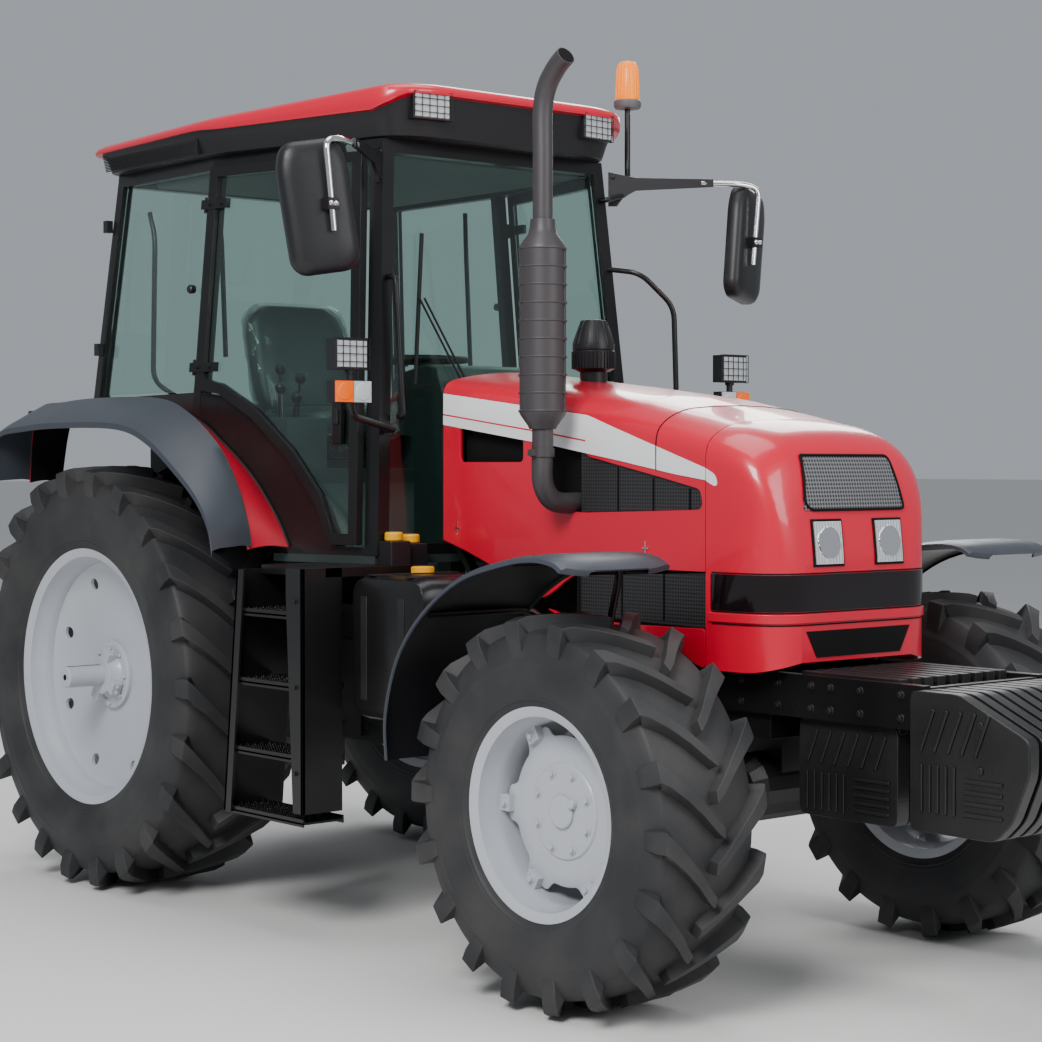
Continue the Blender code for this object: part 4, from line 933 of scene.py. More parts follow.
def side_panel(label, side):
    """Red engine side with its openings, dark meshes behind them and quick fasteners; matt black sheets set
    deeper behind the openings are painted shade.
    """
    seam = SEAM_X - 0.002
    low = [(HOOD_REAR + 0.001, 1.400), (1.60, 1.365), (1.744, 1.318), (1.88, 1.262), (2.011, 1.205),
           (2.09, 1.24), (2.178, 1.300), (2.40, 1.325), (2.60, 1.332), (seam, 1.332)]
    top = [(x, between(HOOD_ROWS, x)[2] - 0.002) for x in (seam, 2.67, 2.40, 2.09, 1.78, HOOD_REAR + 0.001)]
    panel = Shape()
    skin = span(side, HOOD_HALF - 0.012, HOOD_HALF)
    panel.plate(flat_round(low, 0.06, 3, closed=False) + top, *skin)
    piece = panel.make(f"side_panel_{label}_skin", "chassis", ["red_paint"],
                       replaces=[f"side_panel_{label}"])
    cuts = Shape()
    window = [(1.570, 1.684), (1.921, 1.684), (1.921, 1.90), (1.570, 1.90)]
    mesh = [(2.012, 1.90), (2.012, 1.621), (2.055, 1.520), (2.245, 1.513), (2.790, 1.530), (2.806, 1.545),
            (2.795, 1.596), (2.62, 1.632), (2.25, 1.704), (2.23, 1.90)]
    for hole in (window, mesh):
        cuts.plate(flat_round(hole, 0.02), side * HOOD_HALF - 0.05, side * HOOD_HALF + 0.05)
    carve(piece, cuts)
    soften(piece, 0.003)
    depth = span(side, HOOD_HALF - 0.018, HOOD_HALF - 0.010)
    deep = span(side, HOOD_HALF - 0.050, HOOD_HALF - 0.045)
    back = Shape()
    back.plate([(2.215, 1.515), (2.807, 1.53), (2.80, 1.62), (2.215, 1.72)], *depth)
    # matt black sheets set deep behind the window and the left of the mesh opening: painted shade standing
    # for the dark inside
    back.plate([(1.55, 1.670), (1.94, 1.670), (1.94, 1.785), (1.55, 1.800)], *deep, 1)
    back.plate([(2.00, 1.505), (2.22, 1.505), (2.22, 1.735), (2.00, 1.760)], *deep, 1)
    back.plate([(2.20, 1.165), (seam, 1.150), (seam, 1.328), (2.20, 1.298)], *depth)
    back.plate([(2.200, 1.163), (2.212, 1.163), (2.212, 1.30), (2.200, 1.30)],
               *span(side, HOOD_HALF - 0.018, HOOD_HALF - 0.004), 1)
    for x in (2.42, 2.62):
        back.box((x - 0.004, depth[0] - 0.002, 1.165), (x + 0.004, depth[1] + 0.002, 1.320), 1)
    for k in range(3):
        x = 2.40 + k * 0.17
        top_z = 1.695 - (x - 2.25) * 0.2
        back.box((x - 0.003, depth[0] - 0.003, 1.52), (x + 0.003, depth[1] + 0.003, top_z), 1)
    back.make(f"side_panel_{label}_vents", "chassis", ["vent_mesh", "matt_black"])
    lower = Shape()
    foot = [(2.045, 1.18), (2.20, 1.150), (2.52, 1.146), (seam, 1.150), (seam, 1.022), (2.76, 1.04),
            (2.66, 1.10), (2.52, 1.128), (2.30, 1.136), (2.12, 1.150)]
    lower.plate(flat_round(foot, 0.02), *skin)
    lower.make(f"side_panel_{label}_lower", "chassis", ["red_paint"], 0.003)
    clips = Shape()
    low_y, high_y = span(side, HOOD_HALF + 0.0005, HOOD_HALF + 0.0045)
    for x, z in ((1.557, 1.445), (2.544, 1.400)):
        for width, height in ((0.014, 0.0028), (0.0028, 0.024)):
            clips.box((x - width, low_y, z - height), (x + width, high_y, z + height))
    clips.make(f"side_panel_{label}_clips", "chassis", ["chrome"], 0.0008)


def wing_line(drop, sweep):
    """The rear wing's edge seen from the side, lowered and swept back by so much."""
    points = [(1.100, 1.368), (1.075, 1.46), (1.00, 1.60 - drop * 0.5), (0.87, 1.74 - drop),
              (0.66, 1.86 - drop), (PILLAR_X, 1.918 - drop), (0.05, 1.930 - drop), (-0.30, 1.920 - drop),
              (-0.54, 1.880 - drop), (-0.60, 1.60)]
    return [(x - sweep * max(0.0, x / 1.1) ** 2, z) for x, z in points]


# where the wing meets the cab
WING_SEAM = [(0.980, 1.368), (0.935, 1.440), (0.865, 1.527), (0.760, 1.637), (0.610, 1.752),
             (PILLAR_X, 1.853), *wing_line(0, 0)[6:]]


def wall(x, z, out=0.0):
    """Half width of the cab's side wall."""
    taper = 0.2238 if x > PILLAR_X else -0.017
    return 0.7955 - taper * (x - PILLAR_X) - 0.090 * (z - 2.384) + out


def paint_underside_shade(shape, grid):
    """Gives the under face of a sheet its second finish, a darker one painted as the shade under it; the rim
    keeps the first.
    """
    count = 2 * (len(grid) - 1) * (len(grid[0]) - 1)
    shape.paint = [k % 2 for k in range(count)] + [0] * (len(shape.faces) - count)


def rear_fender(label, side):
    """Red wing with its rolled edge and the grey plastic flare."""
    seam = spline([(x, wall(x, z, -0.022), z) for x, z in WING_SEAM], 5)
    edge = spline([(x, 0.975, z) for x, z in wing_line(0.0, 0.045)], 5)
    grid = []
    for a, b in zip(seam, edge):
        crown = Vector((0, 0, 0.010))
        row = []
        for k in range(9):
            t = k / 8
            p = a.lerp(b, t) + crown * math.sin(math.pi * t)
            row.append((p.x, side * p.y, p.z))
        grid.append(row)
    if side > 0:
        grid = [row[::-1] for row in grid]
    shell = Shape()
    shell.sheet(grid, 0.008)
    # the wing's underside is matt black: painted shade under the red wing
    paint_underside_shade(shell, grid)
    shell.make(f"rear_fender_{label}_shell", "chassis", ["red_paint", "matt_black"], angle=40,
               replaces=[f"rear_fender_{label}"])
    inner = spline([(x, 0.960, z - 0.002) for x, z in wing_line(0.0, 0.045)], 5)
    outer = spline([(x, 1.160, z) for x, z in wing_line(0.09, 0.0)], 5)
    flare = Shape()
    grid = []
    for a, b in zip(inner, outer):
        crest = a.lerp(b, 0.5) + Vector((0.006, 0, 0.014))
        lip = b + Vector((0, 0.003, -0.022))
        line = [a + Vector((0, 0, 0.004)), a + Vector((0, 0.010, 0.013)),
                a.lerp(crest, 0.5) + Vector((0, 0, 0.010)), crest,
                crest.lerp(b, 0.6) + Vector((0, 0, 0.004)), b, lip]
        grid.append([(p.x, side * p.y, p.z) for p in line])
    if side > 0:
        grid = [row[::-1] for row in grid]
    flare.sheet(grid, 0.006)
    flare.make(f"rear_fender_{label}_flare", "chassis", ["flare_plastic"], angle=40)
    trim = Shape()
    line = [Vector((p.x - 0.004, side * (p.y + 0.002), p.z + 0.004)) for p in seam[:31]]
    trim.tube(line, 0.008, 8)
    trim.make(f"rear_fender_{label}_seal", "chassis", ["seal_rubber"])
    lamp = Shape()
    low, high = span(side, 0.83, 0.965)
    split = (low + high) / 2
    lamp.box((-0.628, low, 1.80), (-0.585, high, 1.90))
    lamp.box((-0.634, low + 0.004, 1.804), (-0.626, split - 0.002, 1.896), 1)
    lamp.box((-0.634, split + 0.002, 1.804), (-0.626, high - 0.004, 1.896), 2)
    lamp.make(f"rear_lamp_{label}", "chassis", ["dark_plastic", "red_lens", "orange_lens"],
              0.004)


def front_fender(label, side):
    """Grey cover over the front wheel, narrower at its tip, on two bent stays from the knuckle."""
    spine = [(-0.650, 0.110), (-0.655, 0.260), (-0.590, 0.450), (-0.460, 0.600), (-0.270, 0.720),
             (-0.050, 0.780), (0.090, 0.797), (0.190, 0.785), (0.245, 0.752)]
    curve = spline([(x, z, 0) for x, z in spine], 5)
    low, high = FRONT_Y - 0.166, FRONT_Y + 0.284
    mid = (low + high) / 2
    section_line = ((low, -0.024), (low + 0.004, -0.012), (low + 0.02, -0.004), (low + 0.12, 0.0), (0.9, 0.0),
                    (high - 0.12, 0.0), (high - 0.02, -0.004), (high - 0.004, -0.012), (high, -0.024))
    grid = []
    for i, p in enumerate(curve):
        ahead = (curve[min(i + 1, len(curve) - 1)] - curve[max(i - 1, 0)]).normalized()
        normal = Vector((-ahead.y, ahead.x, 0))
        tip = min(1.0, (len(curve) - 1 - i) / 4 + 0.55)
        row = []
        for y, drop in section_line:
            q = p + normal * drop
            narrowed = mid + (y - mid) * (tip if abs(y - mid) > 0.19 else 1)
            row.append((WHEELBASE + q.x, side * narrowed, FRONT_R + q.y))
        grid.append(row)
    if side < 0:
        grid = [row[::-1] for row in grid]
    cover = Shape()
    cover.sheet(grid, 0.006)
    # the cover's underside gets dark plastic, darker than its top: painted shade under the cover
    paint_underside_shade(cover, grid)
    cover.make(f"front_fender_{label}_cover", f"knuckle_{label}",
               ["flare_plastic", "dark_plastic"], angle=40, replaces=[f"front_fender_{label}"])
    stays = Shape()
    y = side * (KINGPIN_Y - 0.066)
    foot = FRONT_R + 0.0805
    for back, (x, z) in ((0.230, (-0.453, 0.589)), (0.180, (-0.048, 0.765))):
        path = [(WHEELBASE - back, y, foot), (WHEELBASE - back, y, foot + 0.20),
                (WHEELBASE + x, y, FRONT_R + z), (WHEELBASE + x, side * (FRONT_Y + 0.24), FRONT_R + z)]
        stays.pipe(path, 0.012, 0.08)
    for x, z in ((-0.453, 0.600), (-0.048, 0.778)):
        for shift in (-0.10, 0.15):
            stays.bolt((WHEELBASE + x, side * (FRONT_Y + shift), FRONT_R + z + 0.001), (x * 0.6, 0, z), 0.011)
    stays.make(f"front_fender_{label}_stays", f"knuckle_{label}", ["black_paint"])


def exhaust():
    """Ribbed muffler with its bent tail, clamp and elbow into the engine side."""
    x, y = HOOD_REAR + 0.70, -0.53
    low_rib, high_rib, ribs = 1.855, 2.40, 9
    levels = [low_rib + (high_rib - low_rib) * k / ribs for k in range(ribs + 1)]
    shield = Shape()
    profile = [(1.795, 0.046), (1.805, 0.050), (1.845, 0.078)]
    for z in levels:
        profile += [(z - 0.003, 0.0785), (z, 0.0812), (z + 0.003, 0.0785)]
    profile += [(2.412, 0.077), (2.450, 0.050), (2.470, 0.044), (2.50, 0.042)]
    shield.lathe((x, y, 0), (0, 0, 1), profile, 32)
    for z in levels:
        for turn in (0.3, 3.44):
            for step in range(5):
                angle = turn + 0.09 * step
                shield.block(turned(post_spot(x, y, z, angle, 0.0815), angle), (0.004, 0.009, 0.009))
    for angle in (0.5, 3.64):
        shield.block(turned(post_spot(x, y, 2.127, angle, 0.0792), angle), (0.006, 0.012, 0.545))
    tail = spline([(x, y, 2.48), (x, y, 2.70), (x, y, 2.86), (x + 0.02, y, 2.94), (x + 0.07, y, 3.00),
                   (x + 0.118, y, 3.033)], 6)
    shield.tube(tail, 0.034, 24)
    # a matt black plug just inside the tail's mouth: painted shade standing for the dark bore of the pipe
    mouth = tail[-1] - Vector((0.004, 0, 0.0025))
    shield.lathe(mouth, (0.85, 0, 0.52), [(0, 0.0300), (0.0058, 0.0300)], 24, 1)
    elbow = spline([(x, y, 1.81), (x, y, 1.72), (x, y, 1.62), (x, y + 0.03, 1.565), (x, y + 0.08, 1.545),
                    (x, -HOOD_HALF + 0.04, 1.545)], 5)
    shield.tube(elbow, 0.036, 20)
    shield.lathe((x, y, 1.70), (0, 0, 1), [(0, 0.041), (0.03, 0.041)], 24)
    shield.box((x - 0.014, y - 0.056, 1.704), (x + 0.014, y - 0.036, 1.726))
    shield.make("exhaust_stack", "chassis", ["warm_steel", "matt_black"], 0.0012, 32,
                replaces=["exhaust"])


def air_inlet():
    """Slotted bowl of the air pre-cleaner, on the hood."""
    x = HOOD_REAR + 0.37
    foot = 1.96
    bowl = Shape()
    bowl.lathe((x, 0, foot), (0, 0, 1), [(-0.05, 0.050), (0.05, 0.050), (0.056, 0.064), (0.062, 0.076),
                                         (0.125, 0.078), (0.128, 0.074), (0.132, 0.077), (0.150, 0.077),
                                         (0.205, 0.060), (0.238, 0.044), (0.240, 0.030)], 40)
    for angle in turns(36):
        bowl.block(turned(post_spot(x, 0, foot + 0.093, angle, 0.0775), angle), (0.006, 0.005, 0.062))
    for angle in turns(12):
        a = post_spot(x, 0, foot + 0.150, angle, 0.0765)
        b = post_spot(x, 0, foot + 0.236, angle, 0.0450)
        bowl.tube([a, a.lerp(b, 0.5) + Vector((0, 0, 0.002)), b], 0.0035, 6)
    bowl.make("air_inlet_bowl", "hood", ["dark_plastic"], 0.0012, 32,
              replaces=["air_precleaner"])


# ---- cab ----
def roof_outline(z, tuck, tilt):
    """The roof seen from above, drawn in by the tuck and tilted about the pillar."""
    half = [(1.430, 0.450), (1.370, 0.585), (PILLAR_X, 0.815), (-0.330, 0.820), (-0.400, 0.740)]
    points = [Vector((x, y, 0)) for x, y in half] + [Vector((x, -y, 0)) for x, y in reversed(half)]
    centre = Vector((0.5, 0, 0))
    moved = []
    for p in points:
        inward = Vector((math.copysign(1, p.x - centre.x), math.copysign(1, p.y), 0)) * tuck
        moved.append(p - inward)
    ring = rounded(moved, 0.10, 5)
    return [Vector((p.x, p.y, z + tilt * (p.x - PILLAR_X))) for p in ring]


# along the roof's edge: top and foot of the red skirt
ROOF_EDGE = [(-0.50, 2.962, 2.944), (0.4445, 2.990, 2.966), (0.62, 3.000, 2.958), (0.85, 3.012, 2.938),
             (1.14, 3.030, 2.944), (1.28, 3.040, 2.958), (1.36, 3.047, 2.990), (1.405, 3.050, 3.024),
             (1.50, 3.052, 3.030)]


def roof():
    """Arched red cap with a skirt that dips over the doors, above the black visor."""
    def cap_ring(tuck, share, lift):
        ring = []
        for p in roof_outline(0.0, tuck, 0.0):
            top, low = between(ROOF_EDGE, min(max(p.x, -0.499), 1.499))
            ring.append(Vector((p.x, p.y, low + (top - low) * share + lift)))
        return ring

    cap = Shape()
    rows = ((0.080, 0.0, 0.004), (0.006, 0.0, 0.001), (0.002, 0.0, 0.0), (0.0, 0.05, 0.002), (0.0, 0.5, 0.0),
            (0.002, 1.0, -0.004), (0.008, 1.0, 0.004), (0.024, 1.0, 0.013), (0.055, 1.0, 0.022),
            (0.105, 1.0, 0.030), (0.18, 1.0, 0.036), (0.28, 1.0, 0.039))
    cap.loft([cap_ring(*row) for row in rows])
    cap.make("roof_cap_skin", "chassis", ["red_paint"], angle=40, replaces=["roof_cap"])
    base = Shape()
    rings = [roof_outline(2.8705, 0.060, 0.0), roof_outline(2.876, 0.050, 0.002),
             roof_outline(2.93, 0.036, 0.008)]
    under_cap = cap_ring(0.016, 0.0, 0.010)
    rings.append([p.lerp(q, 0.3) for p, q in zip(rings[-1], under_cap)])
    base.loft(rings + [under_cap])
    for _, side in SIDES:
        for k in range(11):
            z = 2.886 + k * 0.0062
            out = 0.046 - (z - 2.876) * 0.26
            ends = [(0.40, 0.815 - out), (-0.30, 0.822 - out)]
            base.tube([(x, side * (y - 0.004), z - 0.004 * (x < 0)) for x, y in ends], 0.0024, 6)
        low, high = span(side, 0.760, 0.785)
        base.box((0.405, low, 2.88), (0.413, high, 2.955))
    base.make("roof_visor", "chassis", ["dark_plastic", "matt_black"], angle=40,
              replaces=["roof_base"])
    for label, side in SIDES:
        lamp = Shape()
        work_lamp(lamp, turned((1.412, side * 0.408, 2.984), side * 0.1), 0.160, 0.100, 0.05)
        lamp.make(f"roof_lamp_{label}", "chassis", LAMP_PAINTS, 0.002)
        rear = Shape()
        work_lamp(rear, turned((-0.345, side * 0.52, 2.915), math.pi), 0.140, 0.075, 0.045)
        rear.make(f"rear_work_lamp_{label}", "chassis", LAMP_PAINTS, 0.002)


LAMP_PAINTS = ["dark_plastic", "chrome", "clear_lens", "black_paint"]


def work_lamp(shape, place, width, height, depth, paint=0):
    """A box lamp that looks along +X, behind a wire guard; its four finishes count up from paint."""
    across, up, guard, wire = width / 2, height / 2, 0.010, 0.0017
    shape.block(place @ Matrix.Translation((-depth / 2, 0, 0)), (depth, width, height), paint)
    shape.block(place @ Matrix.Translation((0.0005, 0, 0)), (0.004, width - 0.014, height - 0.014), paint + 1)
    shape.block(place @ Matrix.Translation((0.0035, 0, 0)), (0.004, width - 0.018, height - 0.018), paint + 2)
    wires = [((guard, -across + width * k / 5, -up), (guard, -across + width * k / 5, up)) for k in range(6)]
    wires += [((guard, -across, z), (guard, across, z)) for z in (-up + height * k / 4 for k in range(5))]
    wires += [((-0.01, y, z), (guard, y, z)) for y in (-across, across) for z in (-up, up)]
    for a, b in wires:
        shape.rod(place @ Vector(a), place @ Vector(b), wire, 6, paint + 3)


def mirror(label, side):
    """Black arm from the pillar, bright tube and a rounded head turned a little outwards."""
    level = 2.79
    arm = Shape()
    root, tip = Vector((1.300, side * 0.566, 0)), Vector((1.575, side * 0.880, 0))
    along = (tip - root).normalized()
    across = Vector((-along.y, along.x, 0)) * 0.007
    reach = (tip - root).length
    gusset = [(0.0, 2.700), (0.035, 2.700), (0.060, 2.735), (0.110, 2.762), (reach, 2.776), (reach, 2.806),
              (0.110, 2.812), (0.0, 2.835)]
    arm.loft([[root + along * u + across * hand + Vector((0, 0, z)) for u, z in gusset] for hand in (-1, 1)])
    for z in (2.72, 2.815):
        for out in (across, -across):
            arm.bolt(root + along * 0.018 + out + Vector((0, 0, z)), out, 0.010)
    path = [root + along * (reach - 0.05) + Vector((0, 0, level)), (1.630, side * 0.985, level),
            (1.655, side * 1.056, level - 0.015), (1.655, side * 1.022, 2.47)]
    arm.pipe(path, 0.0110, 0.05, 16, 1)
    arm.block(Matrix.Translation((1.652, side * 1.034, 2.56)), (0.040, 0.044, 0.040))
    for y in (1.044, 1.024):
        arm.bolt((1.672, side * y, 2.560), (1, 0, 0), 0.010, 1)
    turn = turned((1.591, side * 1.043, 2.554), side * math.radians(20))
    turn = turn @ Matrix.Rotation(-side * math.radians(9), 4, "X")
    corners = ((-0.085, -0.228), (0.085, -0.228), (0.122, -0.190), (0.125, 0.150), (0.095, 0.228),
               (-0.095, 0.228), (-0.125, 0.150), (-0.122, -0.190))
    outline = rounded([Vector((0, y, z)) for y, z in corners], 0.05)
    rings = []
    for x, scale in ((-0.026, 0.955), (-0.030, 0.975), (-0.026, 0.995), (0.004, 1.0), (0.020, 0.96),
                     (0.031, 0.86), (0.037, 0.66), (0.039, 0.3)):
        rings.append([turn @ Vector((x, p.y * scale, p.z * (1 - (1 - scale) * 0.6))) for p in outline])
    arm.loft(rings)
    face = [turn @ Vector((-0.0265, p.y * 0.94, p.z * 0.955)) for p in outline]
    back = [p + turn.to_3x3() @ Vector((-0.002, 0, 0)) for p in face]
    arm.loft([face, back], 2)
    for y in (-0.035, 0.035):
        rib = turn @ Vector((0.030, y, 0.0))
        arm.block(Matrix.Translation(rib) @ turn.to_3x3().to_4x4(), (0.012, 0.006, 0.30))
    arm.make(f"mirror_{label}_assembly", "chassis", ["dark_plastic", "chrome", "mirror_face"],
             0.0015, 35, replaces=[f"mirror_{label}"])


def pillar_point(side, z, reach):
    """A place ahead of the front pillar's face."""
    x = 1.366 + (1.260 - 1.366) * (z - 1.403) / (2.867 - 1.403) + 0.030
    return (x + reach, side * wall(x, z, -0.049), z)


def lamp_bracket(label, side):
    """Turn signal with its two lenses, and the caged work lamp above it."""
    stand = Shape()
    path = [pillar_point(side, 1.80, 0.002), pillar_point(side, 1.80, 0.06), (1.60, side * 0.90, 1.84),
            (1.617, side * 0.930, 1.89), (1.617, side * 0.930, 2.02)]
    stand.pipe(path, 0.0125, 0.06, 14)
    low, high = span(side, 0.860, 1.012)
    split = (low + high) / 2
    stand.box((1.597, low, 1.887), (1.642, high, 1.964), 1)
    outer = (split, high) if side > 0 else (low, split)
    inner = (low, split) if side > 0 else (split, high)
    for (a, b), paint in ((outer, 2), (inner, 3)):
        stand.box((1.640, a + 0.002, 1.889), (1.651, b - 0.002, 1.962), paint)
        rings = [(0, 0.031), (0.004, 0.029), (0.005, 0.018)]
        stand.lathe((1.650, (a + b) / 2, 1.9255), (1, 0, 0), rings, 24, paint)
    work_lamp(stand, Matrix.Translation((1.637, side * 0.936, 2.055)), 0.140, 0.108, 0.050, 4)
    stand.rod((1.617, side * 0.930, 1.99), (1.617, side * 0.930, 2.01), 0.018)
    paints = ["dark_plastic", "dark_plastic", "orange_lens", "clear_lens", *LAMP_PAINTS]
    stand.make(f"lamp_bracket_{label}_assembly", "chassis", paints, 0.002,
               replaces=[f"lamp_bracket_{label}"])


def beacon():
    """Ribbed amber lamp on a bent bar at the left front pillar."""
    x, y, foot = 1.300, 0.670, 3.095
    lamp = Shape()
    path = [pillar_point(1, 2.72, 0.002), pillar_point(1, 2.72, 0.035), (1.335, 0.640, 2.75), (x, y, 2.86),
            (x, y, foot + 0.01)]
    lamp.pipe(path, 0.0115, 0.04, 14)
    lamp.lathe((x, y, foot), (0, 0, 1), [(0, 0.030), (0.002, 0.050), (0.012, 0.055), (0.030, 0.055),
                                         (0.034, 0.050)], 32, 1)
    lamp.lathe((x, y, foot), (0, 0, 1), [(0.033, 0.047), (0.040, 0.0485), (0.155, 0.043), (0.175, 0.038),
                                         (0.187, 0.028), (0.190, 0.012)], 40, 2)
    for angle in turns(20):
        out = Vector((math.cos(angle), math.sin(angle), 0))
        lamp.tube([Vector((x, y, foot + 0.042)) + out * 0.0480, Vector((x, y, foot + 0.155)) + out * 0.0425,
                   Vector((x, y, foot + 0.178)) + out * 0.036], 0.0022, 6, 2)
    lamp.make("beacon_lamp", "chassis", ["black_paint", "beacon_base", "amber"],
              replaces=["beacon"])


def cushion(name, place, size):
    """A crowned pad whose section has soft corners."""
    rows, columns, squareness = 14, 28, 0.45
    shape = Shape()
    rings = []
    for k in range(rows + 1):
        t = -1 + 2 * k / rows
        scale = 0.72 + 0.28 * (1 - abs(t) ** 4) ** 0.5
        ring = []
        for angle in turns(columns):
            c, s = math.cos(angle), math.sin(angle)
            x = math.copysign(abs(c) ** squareness, c) * size[0] / 2
            y = math.copysign(abs(s) ** squareness, s) * size[1] / 2
            ring.append(place @ Vector((x * scale, y * scale, t * size[2] / 2)))
        rings.append(ring)
    shape.loft(rings)
    piece = shape.make(name, "chassis", ["seat_vinyl"], angle=60)
    return piece


def seat():
    """Sprung seat in a loose plastic film."""
    level = Matrix.Translation((0.215, 0, 1.850))
    lean = Matrix.Translation((-0.025, 0, 2.110)) @ Matrix.Rotation(math.radians(-14), 4, "Y")
    base = cushion("seat_cushion", level, (0.46, 0.46, 0.13))
    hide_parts("seat")
    cushion("seat_back", lean, (0.115, 0.48, 0.46))
    foot = Shape()
    foot.box((0.02, -0.16, 1.662), (0.38, 0.16, 1.69))
    foot.box((0.04, -0.14, 1.76), (0.40, 0.14, 1.79))
    for k in range(5):
        z = 1.695 + k * 0.014
        foot.box((0.05, -0.13, z), (0.37, 0.13, z + 0.009), 1)
    foot.make("seat_base", "chassis", ["black_paint", "seal_rubber"], 0.003)
    film = Shape()
    random.seed(7)
    for place, size in ((level, (0.485, 0.485, 0.150)), (lean, (0.137, 0.505, 0.487))):
        rings = []
        for k in range(17):
            t = -1 + 2 * k / 16
            ring = []
            for angle in turns(40):
                c, s = math.cos(angle), math.sin(angle)
                crease = 1 + random.uniform(-0.022, 0.022)
                swell = 0.80 + 0.20 * (1 - abs(t) ** 5) ** 0.5
                cx = math.copysign(abs(c) ** 0.5, c) * size[0] / 2 * swell * crease
                cy = math.copysign(abs(s) ** 0.5, s) * size[1] / 2 * swell * crease
                ring.append(place @ Vector((cx, cy, t * size[2] / 2)))
            rings.append(ring)
        film.loft(rings)
    film.make("seat_film", "chassis", ["film"], angle=20)


def steering():
    """Dashboard, column, wheel and the control levers."""
    desk = Shape()
    outline = [(1.02, 1.350), (1.31, 1.350), (1.31, 1.80), (1.31, 1.86), (1.25, 2.04), (1.17, 2.055),
               (0.975, 2.02), (0.935, 1.87), (0.935, 1.80), (1.02, 1.78)]
    mid = Vector((1.13, 1.75))
    rings = []
    for y, tuck in ((-0.26, 0.02), (-0.25, 0.0), (0.25, 0.0), (0.26, 0.02)):
        rings.append([(mid.x + (x - mid.x) * (1 - tuck * 2), y * (1.0 if z > 1.79 else 0.77),
                       mid.y + (z - mid.y) * (1 - tuck)) for x, z in outline])
    desk.loft(rings)
    for k in range(3):
        gauge = [(0, 0.045), (0.008, 0.045), (0.010, 0.040)]
        desk.lathe((1.02 + 0.004 * k, (k - 1) * 0.13, 2.033), (-0.2, 0, 1), gauge, 28, 1)
    desk.rod((0.99, 0, 1.96), (0.80, 0, 2.092), 0.022, 20, 1)
    desk.lathe((0.81, 0, 2.083), (0, 0, 1), [(0, 0.045), (0.018, 0.045), (0.026, 0.030)], 28, 1)
    rim = [post_spot(0.81, 0, 2.091, angle, 0.183) for angle in (*turns(56), math.tau)]
    desk.tube(rim, 0.0125, 12, 1)
    for angle in turns(3):
        out = Vector((math.cos(angle + 0.5), math.sin(angle + 0.5), 0))
        desk.pipe([Vector((0.81, 0, 2.090)) + out * 0.03, Vector((0.81, 0, 2.084)) + out * 0.10,
                   Vector((0.81, 0, 2.090)) + out * 0.178], 0.009, 0.05, 10, 1)
    desk.make("dashboard", "chassis", ["cab_lining", "seal_rubber"], 0.006, 40,
              replaces=["steering_column"])
    levers = Shape()
    for x, y, z, tilt in ((0.50, -0.36, 2.02, 0.05), (0.42, -0.40, 1.98, -0.04), (0.36, -0.36, 2.06, 0.03),
                          (0.56, -0.42, 1.94, 0.08), (0.30, 0.38, 1.99, 0.02)):
        levers.rod((x - tilt, y, 1.655), (x, y, z), 0.006, 10)
        knob = [(-0.024, 0.008), (-0.014, 0.019), (0.004, 0.023), (0.018, 0.016), (0.024, 0.004)]
        levers.lathe((x, y, z), (0, 0, 1), knob, 20, 1)
    levers.box((0.22, -0.49, 1.655), (0.60, -0.30, 1.86), 2)
    levers.box((0.20, 0.30, 1.655), (0.56, 0.49, 1.80), 2)
    levers.make("control_levers", "chassis", ["black_paint", "seal_rubber", "cab_lining"],
                0.004)


def door_fittings(label, side):
    """Inner grip, latch plate with its button, and the bolts of the hinges."""
    grip = Shape()
    a = Vector((1.17, side * (wall(1.17, 1.90) - 0.045), 1.90))
    b = Vector((1.20, side * (wall(1.20, 1.73) - 0.045), 1.73))
    foot = Vector((0, side * 0.03, 0.0))
    grip.pipe([a + foot, a, b, b + foot], 0.010, 0.03)
    plate_y = wall(1.20, 1.82, 0.006)
    grip.block(Matrix.Translation((1.205, side * plate_y, 1.83)), (0.05, 0.020, 0.16))
    grip.block(Matrix.Translation((1.205, side * (plate_y + 0.012), 1.85)), (0.032, 0.014, 0.055), 1)
    grip.make(f"door_{label}_handle", f"door_{label}", ["black_paint", "dark_plastic"], 0.003)
    bolts = Shape()
    for z in (2.05, 2.68):
        for x in (PILLAR_X + 0.045, PILLAR_X + 0.105):
            bolts.bolt((x, side * wall(x, z, 0.018), z), (0.22, side, 0.09), 0.011)
    bolts.make(f"door_{label}_hinge_bolts", f"door_{label}", ["black_paint"])


def grab_rail(label, side):
    """Rail on the front pillar: straight on the right, standing off on the left."""
    rail = Shape()
    root = Vector(pillar_point(side, 2.42, 0.02))
    if side > 0:
        path = [(root.x - 0.03, root.y, 2.45), (root.x + 0.10, root.y + side * 0.06, 2.43),
                (1.50, side * 0.735, 2.30), (1.505, side * 0.745, 1.94), (1.45, side * 0.70, 1.90)]
    else:
        path = [(root.x - 0.02, root.y, 2.36), (root.x + 0.03, root.y, 2.36),
                (root.x + 0.075, root.y, 1.85), (root.x + 0.045, root.y, 1.85)]
    rail.pipe(path, 0.011, 0.05)
    rail.make(f"grab_rail_{label}", "chassis", ["black_paint"])


def quarter_window_fittings(label, side):
    """Hinge blocks at the rear edge and the catch at the front one."""
    fittings = Shape()
    for z in (2.15, 2.66):
        y = side * wall(-0.33, z)
        fittings.block(Matrix.Translation((-0.335, y - side * 0.01, z)), (0.03, 0.03, 0.05))
    catch_y = side * wall(0.36, 2.36, -0.030)
    fittings.lathe((0.36, catch_y, 2.36), (0, side, 0), [(0, 0.016), (0.02, 0.018), (0.028, 0.012)], 20)
    fittings.make(f"quarter_window_{label}_fittings", "chassis", ["dark_plastic"], 0.002)


